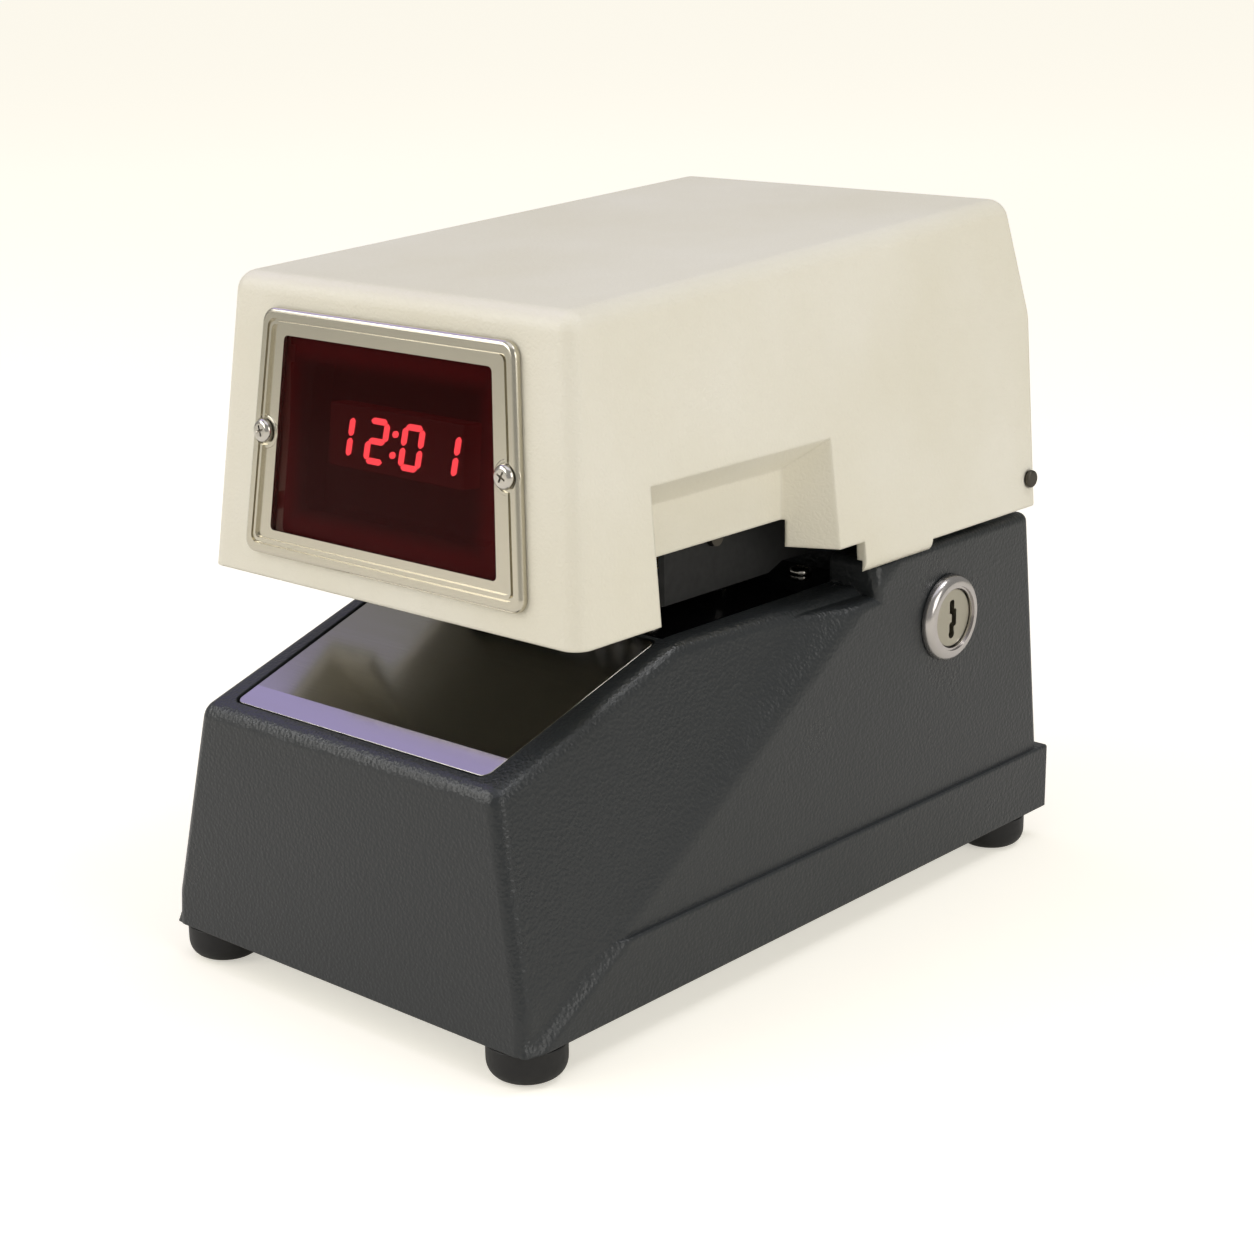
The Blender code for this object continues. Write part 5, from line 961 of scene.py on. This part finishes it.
coat(zinc, "hinge_bracket_left", "hinge_bracket_right")
PIN_RADIUS = 2.0 * MM
# Dark steel for the hinge pins. It also darkens the wheel shaft, where it is painted shade.
dark_pins_and_shaded_shaft = finish("dark_pin_steel_and_painted_shade_shaft", "#57534C", 1.0, 0.8 * MM, 0.37, 0.48)
for side, name in ((-1, "left"), (1, "right")):
    pin_low, pin_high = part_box(f"hinge_pin_{name}")
    pin_middle = (pin_low + pin_high) / 2
    head_radius = (pin_high.z - pin_low.z) / 2
    head_end, shank_end = max(abs(pin_low.x), abs(pin_high.x)), min(abs(pin_low.x), abs(pin_high.x))
    at = Matrix.Translation((0.0, pin_middle.y, pin_middle.z)) @ ON_RIGHT
    pin = turned_rod(f"hinge_pin_shank_{name}", head_radius, head_end - 1.2 * MM, head_end, at, 48)
    bevel_where(pin, 0.75 * MM, 5, lambda a, b: min(a.x, b.x) > head_end - 0.1 * MM)
    shank = turned_rod("pin_shank", PIN_RADIUS, shank_end, head_end - 0.6 * MM, at, 48)
    carve(pin, shank, operation="UNION")
    if side < 0:
        place(pin, Matrix.Translation((0.0, pin_middle.y, 0.0)) @ Matrix.Rotation(math.pi, 4, "Z")
              @ Matrix.Translation((0.0, -pin_middle.y, 0.0)))
    dress(pin, dark_pins_and_shaded_shaft, "bright", "base", f"hinge_pin_{name}")


# ---- Side lock
# A cam lock in the right wall: a wide domed ring in front and a hexagonal nut behind the wall.
# Its plug, brushed flat on the face, turns a steel cam that hooks over the cover's latch.

# Satin chrome of the ring: soft enough to spread a lamp over the whole dome.
satin_chrome = finish("satin_chrome_ring", "#C4C0BE", 1.0, 0.25 * MM, 0.19, 0.25)
# The plug's face is brushed up and down, so its glints run across.
brushed_plug = finish("brushed_lock_plug", "#B5B1A2", 1.0, 0.15 * MM, 0.28, 0.42, (1.0, 1.0, 0.04))
barrel_low, barrel_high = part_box("lock_barrel")
plug_low, plug_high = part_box("lock_plug")
RING_RADIUS, PLUG_RADIUS = (barrel_high.y - barrel_low.y) / 2, (plug_high.y - plug_low.y) / 2
RING_FACE, RING_BACK = barrel_high.x, barrel_high.x - 3.0 * MM
ring = turned_rod("lock_ring", RING_RADIUS, RING_BACK, RING_FACE, lock_at, 128)
bevel_where(ring, 2.5 * MM, 14, lambda a, b: min(a.x, b.x) > RING_FACE - 0.1 * MM)
sleeve = turned_rod("lock_sleeve", 10.5 * MM, barrel_low.x, RING_BACK + 0.4 * MM, lock_at, 96)
carve(ring, sleeve, operation="UNION")
for name, radius, start, end, around in (
    ("lock_dish", PLUG_RADIUS + 1.0 * MM, RING_FACE - 0.5 * MM, RING_FACE + 9 * MM, 128),
    ("lock_bore", PLUG_RADIUS + 0.3 * MM, RING_BACK, RING_FACE + 9 * MM, 128),
    ("lock_inner_bore", PLUG_RADIUS - 0.7 * MM, barrel_low.x - MM, RING_FACE, 96),
):
    carve(ring, turned_rod(name, radius, start, end, lock_at, around))
dress(ring, satin_chrome, "bright", "base", "lock_barrel")
plug = turned_rod("lock_face", PLUG_RADIUS, RING_BACK + 0.3 * MM, plug_high.x, lock_at, 96)
bevel_where(plug, 0.35 * MM, 3, lambda a, b: min(a.x, b.x) > plug_high.x - 0.1 * MM)
core = turned_rod("lock_core", PLUG_RADIUS - 1 * MM, barrel_low.x - 0.3 * MM, RING_BACK + MM, lock_at, 64)
carve(plug, core, operation="UNION")
tail = cut_block("lock_tail", (plug_low.x, -2.5 * MM, -2.5 * MM), (barrel_low.x + MM, 2.5 * MM, 2.5 * MM))
carve(plug, place(tail, lock_on_axis), operation="UNION")
# The keyway is a row of three slots, the middle one set over, and ends in a round hole.
KEYWAY = ((-0.4 * MM, 1.2 * MM, 5.4 * MM), (0.7 * MM, -2.6 * MM, 2.6 * MM), (-0.4 * MM, -4.8 * MM, -1.2 * MM))
KEY_HALF, key_from, key_to = 1.15 * MM, plug_high.x - 8 * MM, plug_high.x + MM
for shift, low_z, high_z in KEYWAY:
    key_slot = cut_block("key_slot", (key_from, shift - KEY_HALF, low_z), (key_to, shift + KEY_HALF, high_z))
    round_edges(key_slot, 0.7 * MM, 3)
    carve(plug, place(key_slot, lock_on_axis))
key_end = Matrix.Translation((0.0, -0.4 * MM, -4.7 * MM)) @ lock_at
carve(plug, turned_rod("key_hole", 1.4 * MM, key_from, key_to, key_end, 32))
dress(plug, brushed_plug, "bright", "lock", "lock_plug")
coat(zinc, "lock_nut", "lock_cam", "cover_latch_hook")


# ---- Power inlet
# A moulded black inlet for a detachable cord, let into the sloping back, with three plated pins.
# Two screws go through its flange; the cord itself is not part of the clock.

matt_black = finish("matt_black_moulding", "#141415", 0.0, 0.8 * MM, 0.38, 0.52)
BACK_UP = Matrix.Rotation(math.radians(-90), 4, "X")
FLANGE_TOP = 2.8 * MM
inlet = rounded_plate("inlet_moulding", 25 * MM, 25 * MM, -12 * MM, 12 * MM, 0.3 * MM, FLANGE_TOP, 3.5 * MM)
round_edges(inlet, 0.6 * MM, 4, 60.0)
body_block = cut_block("inlet_body", (-13.5 * MM, -9.5 * MM, -22 * MM), (13.5 * MM, 9.5 * MM, 1 * MM))
carve(inlet, body_block, operation="UNION")
socket_block = cut_block("inlet_socket", (-12 * MM, -8 * MM, FLANGE_TOP - 15 * MM), (12 * MM, 8 * MM, 9 * MM))
bevel_where(socket_block, 4.0 * MM, 1, lambda a, b: abs(a.z - b.z) > 5 * MM and a.y > 0)
carve(inlet, socket_block)
for side in (-1, 1):
    at = Matrix.Translation((side * 20 * MM, 0, 0))
    carve(inlet, turned_rod("inlet_hole", 1.9 * MM, -9 * MM, 9 * MM, at, 32))
place(inlet, ON_BACK @ BACK_UP)
dress(inlet, matt_black, "black", "base", "power_inlet")
for number, (x, z) in enumerate(((-7 * MM, -2 * MM), (0.0, 2 * MM), (7 * MM, -2 * MM)), 1):
    blade = cut_block(
        f"inlet_pin_{number}", (x - 1 * MM, -z - 2 * MM, FLANGE_TOP - 15.5 * MM),
        (x + 1 * MM, -z + 2 * MM, FLANGE_TOP - 4.5 * MM),
    )
    round_edges(blade, 0.4 * MM, 2)
    dress(place(blade, ON_BACK @ BACK_UP), nickel, "bright", "base")
BACK_OUT = ON_BACK.to_3x3().to_4x4() @ BACK_UP
drive_screw("inlet_screw_at_left", "inlet_screw_left", "base", BACK_OUT, 40.0)
drive_screw("inlet_screw_at_right", "inlet_screw_right", "base", BACK_OUT, 8.0)
bpy.data.objects.remove(screw)


# ---- Print head frame
# Two side plates and a floor, blanked from sheet steel, carry the head under the cover.
# The side plates are coloured near-black as painted shade, so that nothing gleams behind the finger notches.

dull_zinc = finish("dull_zinc_frame", "#A9ADB1", 1.0, 2.5 * MM, 0.32, 0.5)
near_black_painted_shade = finish("near_black_side_plates_painted_shade", "#0D0E0F", 0.3, 2.5 * MM, 0.42, 0.55)
coat(near_black_painted_shade, "frame_plate_left", "frame_plate_right")
coat(dull_zinc, "frame_floor")


# ---- Type wheels and their drive
# Five engraved type wheels on a ground shaft; their faces are stained black with ink.
# A synchronous motor drives the minute wheel through a brass gear, and a comb keeps the rest in line.

ground_steel = finish("ground_steel_shaft", "#C4C4C2", 1.0, 0.2 * MM, 0.1, 0.22, (0.03, 1.0, 1.0))
inked_type = finish("inked_type_metal", "#3A3A40", 0.8, 0.7 * MM, 0.3, 0.5)
cut_brass = finish("machine_cut_brass", "#C79A45", 1.0, 0.3 * MM, 0.2, 0.34)
tinned_can = finish("tinned_motor_can", "#B8BABD", 1.0, 1.5 * MM, 0.25, 0.38)
spring_steel = finish("spring_steel_comb", "#8F9195", 1.0, 0.4 * MM, 0.25, 0.4, (0.05, 1.0, 1.0))
# The ground shaft takes the dark pin steel as painted shade, so that its end shows no highlight behind the
# finger notch.
coat(dark_pins_and_shaded_shaft, "wheel_shaft")
coat(inked_type, "minute_wheel", "tens_wheel", "hour_wheel", "date_wheel", "month_wheel")
coat(cut_brass, "drive_gear", "motor_pinion")
coat(tinned_can, "clock_motor")
coat(spring_steel, "detent_comb")


# ---- Ribbon
# A black moulded cassette slides in under the wheels, with a knob that takes up the slack.
# The nylon band that crosses the throat is woven fine and soaked in violet ink.



def ridged(name, colour, roughness, metallic, axis, pitch, uneven, strength, depth):
    """A surface of fine parallel ridges, a real distance apart along one axis."""
    material, shader = new_material(name, colour, roughness, metallic)
    place_of = add_node(material, "ShaderNodeTexCoord").outputs["Object"]
    ridges = add_node(
        material, "ShaderNodeTexWave", {"wave_type": "BANDS", "bands_direction": axis},
        {"Vector": place_of, "Scale": 0.314 / pitch, "Distortion": uneven, "Detail": 1.0},
    ).outputs["Fac"]
    raised = add_node(
        material, "ShaderNodeBump", None, {"Height": ridges, "Strength": strength, "Distance": depth},
    ).outputs["Normal"]
    feed(material, raised, shader, "Normal")
    return material


# Soaked nylon: nearly black and matt, its threads 0.35 mm apart so that the weave shows.
ribbon_cloth = ridged("inked_nylon_ribbon", "#17131F", 0.8, 0.0, "X", 0.35 * MM, 0.6, 0.5, 0.05 * MM)
coat(ribbon_cloth, "ribbon_band")
coat(matt_black, "ribbon_cassette")
knob_red = finish("dark_red_knob", "#6E1A1C", 0.0, 1.0 * MM, 0.3, 0.42)
coat(knob_red, "ribbon_knob")


# ---- Hammer and solenoid
# A bracket on the base's floor carries the hammer's shaft and the solenoid that throws it upward.
# The arm ends in a rubber platen pad, and a light spring lifts the plunger back.

# Lacquered copper wire, 0.4 mm thick and wound in layers, glints along every turn.
lacquered_copper = ridged(
    "lacquered_copper_winding", "#A6552B", 0.24, 1.0, "Z", 0.4 * MM, 0.2, 0.6, 0.12 * MM,
)
# Yellow passivated zinc plate has a soft, slightly iridescent gleam.
yellow_zinc = finish("yellow_passivated_zinc", "#B9A76E", 1.0, 3.0 * MM, 0.28, 0.42)
coat(yellow_zinc, "hammer_bracket", "hammer_arm")
coat(ground_steel, "hammer_shaft", "solenoid_plunger", "return_spring")
coat(lacquered_copper, "solenoid")
coat(rubber, "platen_pad")


# ---- Paper trigger
# A stainless lever stands up through the throat; paper pushes it back against a small switch.

coat(ground_steel, "trigger_lever")
coat(matt_black, "trigger_switch")


# ---- Boards and transformer
# Two fibreglass boards, green with solder mask: one behind the display, one on the base's floor.
# The laminated mains transformer stands next to them; its windings' yellow tape is not drawn, and the whole
# of it takes the laminations' finish.

mask_green, mask_shader = new_material("green_solder_mask", "#1D4A2C", 0.3)
where = add_node(mask_green, "ShaderNodeTexCoord").outputs["Object"]
tracks = add_node(
    mask_green, "ShaderNodeTexBrick", {"offset": 0.5},
    {"Vector": where, "Scale": 1.0 / (20 * MM), "Mortar Size": 0.03, "Color1": [*linear("#1D4A2C"), 1.0],
     "Color2": [*linear("#1A4429"), 1.0], "Mortar": [*linear("#3D6B38"), 1.0]},
).outputs["Color"]
feed(mask_green, tracks, mask_shader, "Base Color")
coat(mask_green, "display_board", "main_board")
# Steel sheets 0.5 mm thick, stacked and dipped in dark varnish, show as fine ribs.
laminated = ridged("varnished_laminations", "#4A4540", 0.45, 0.7, "Y", 0.5 * MM, 0.0, 0.5, 0.1 * MM)
coat(laminated, "transformer")
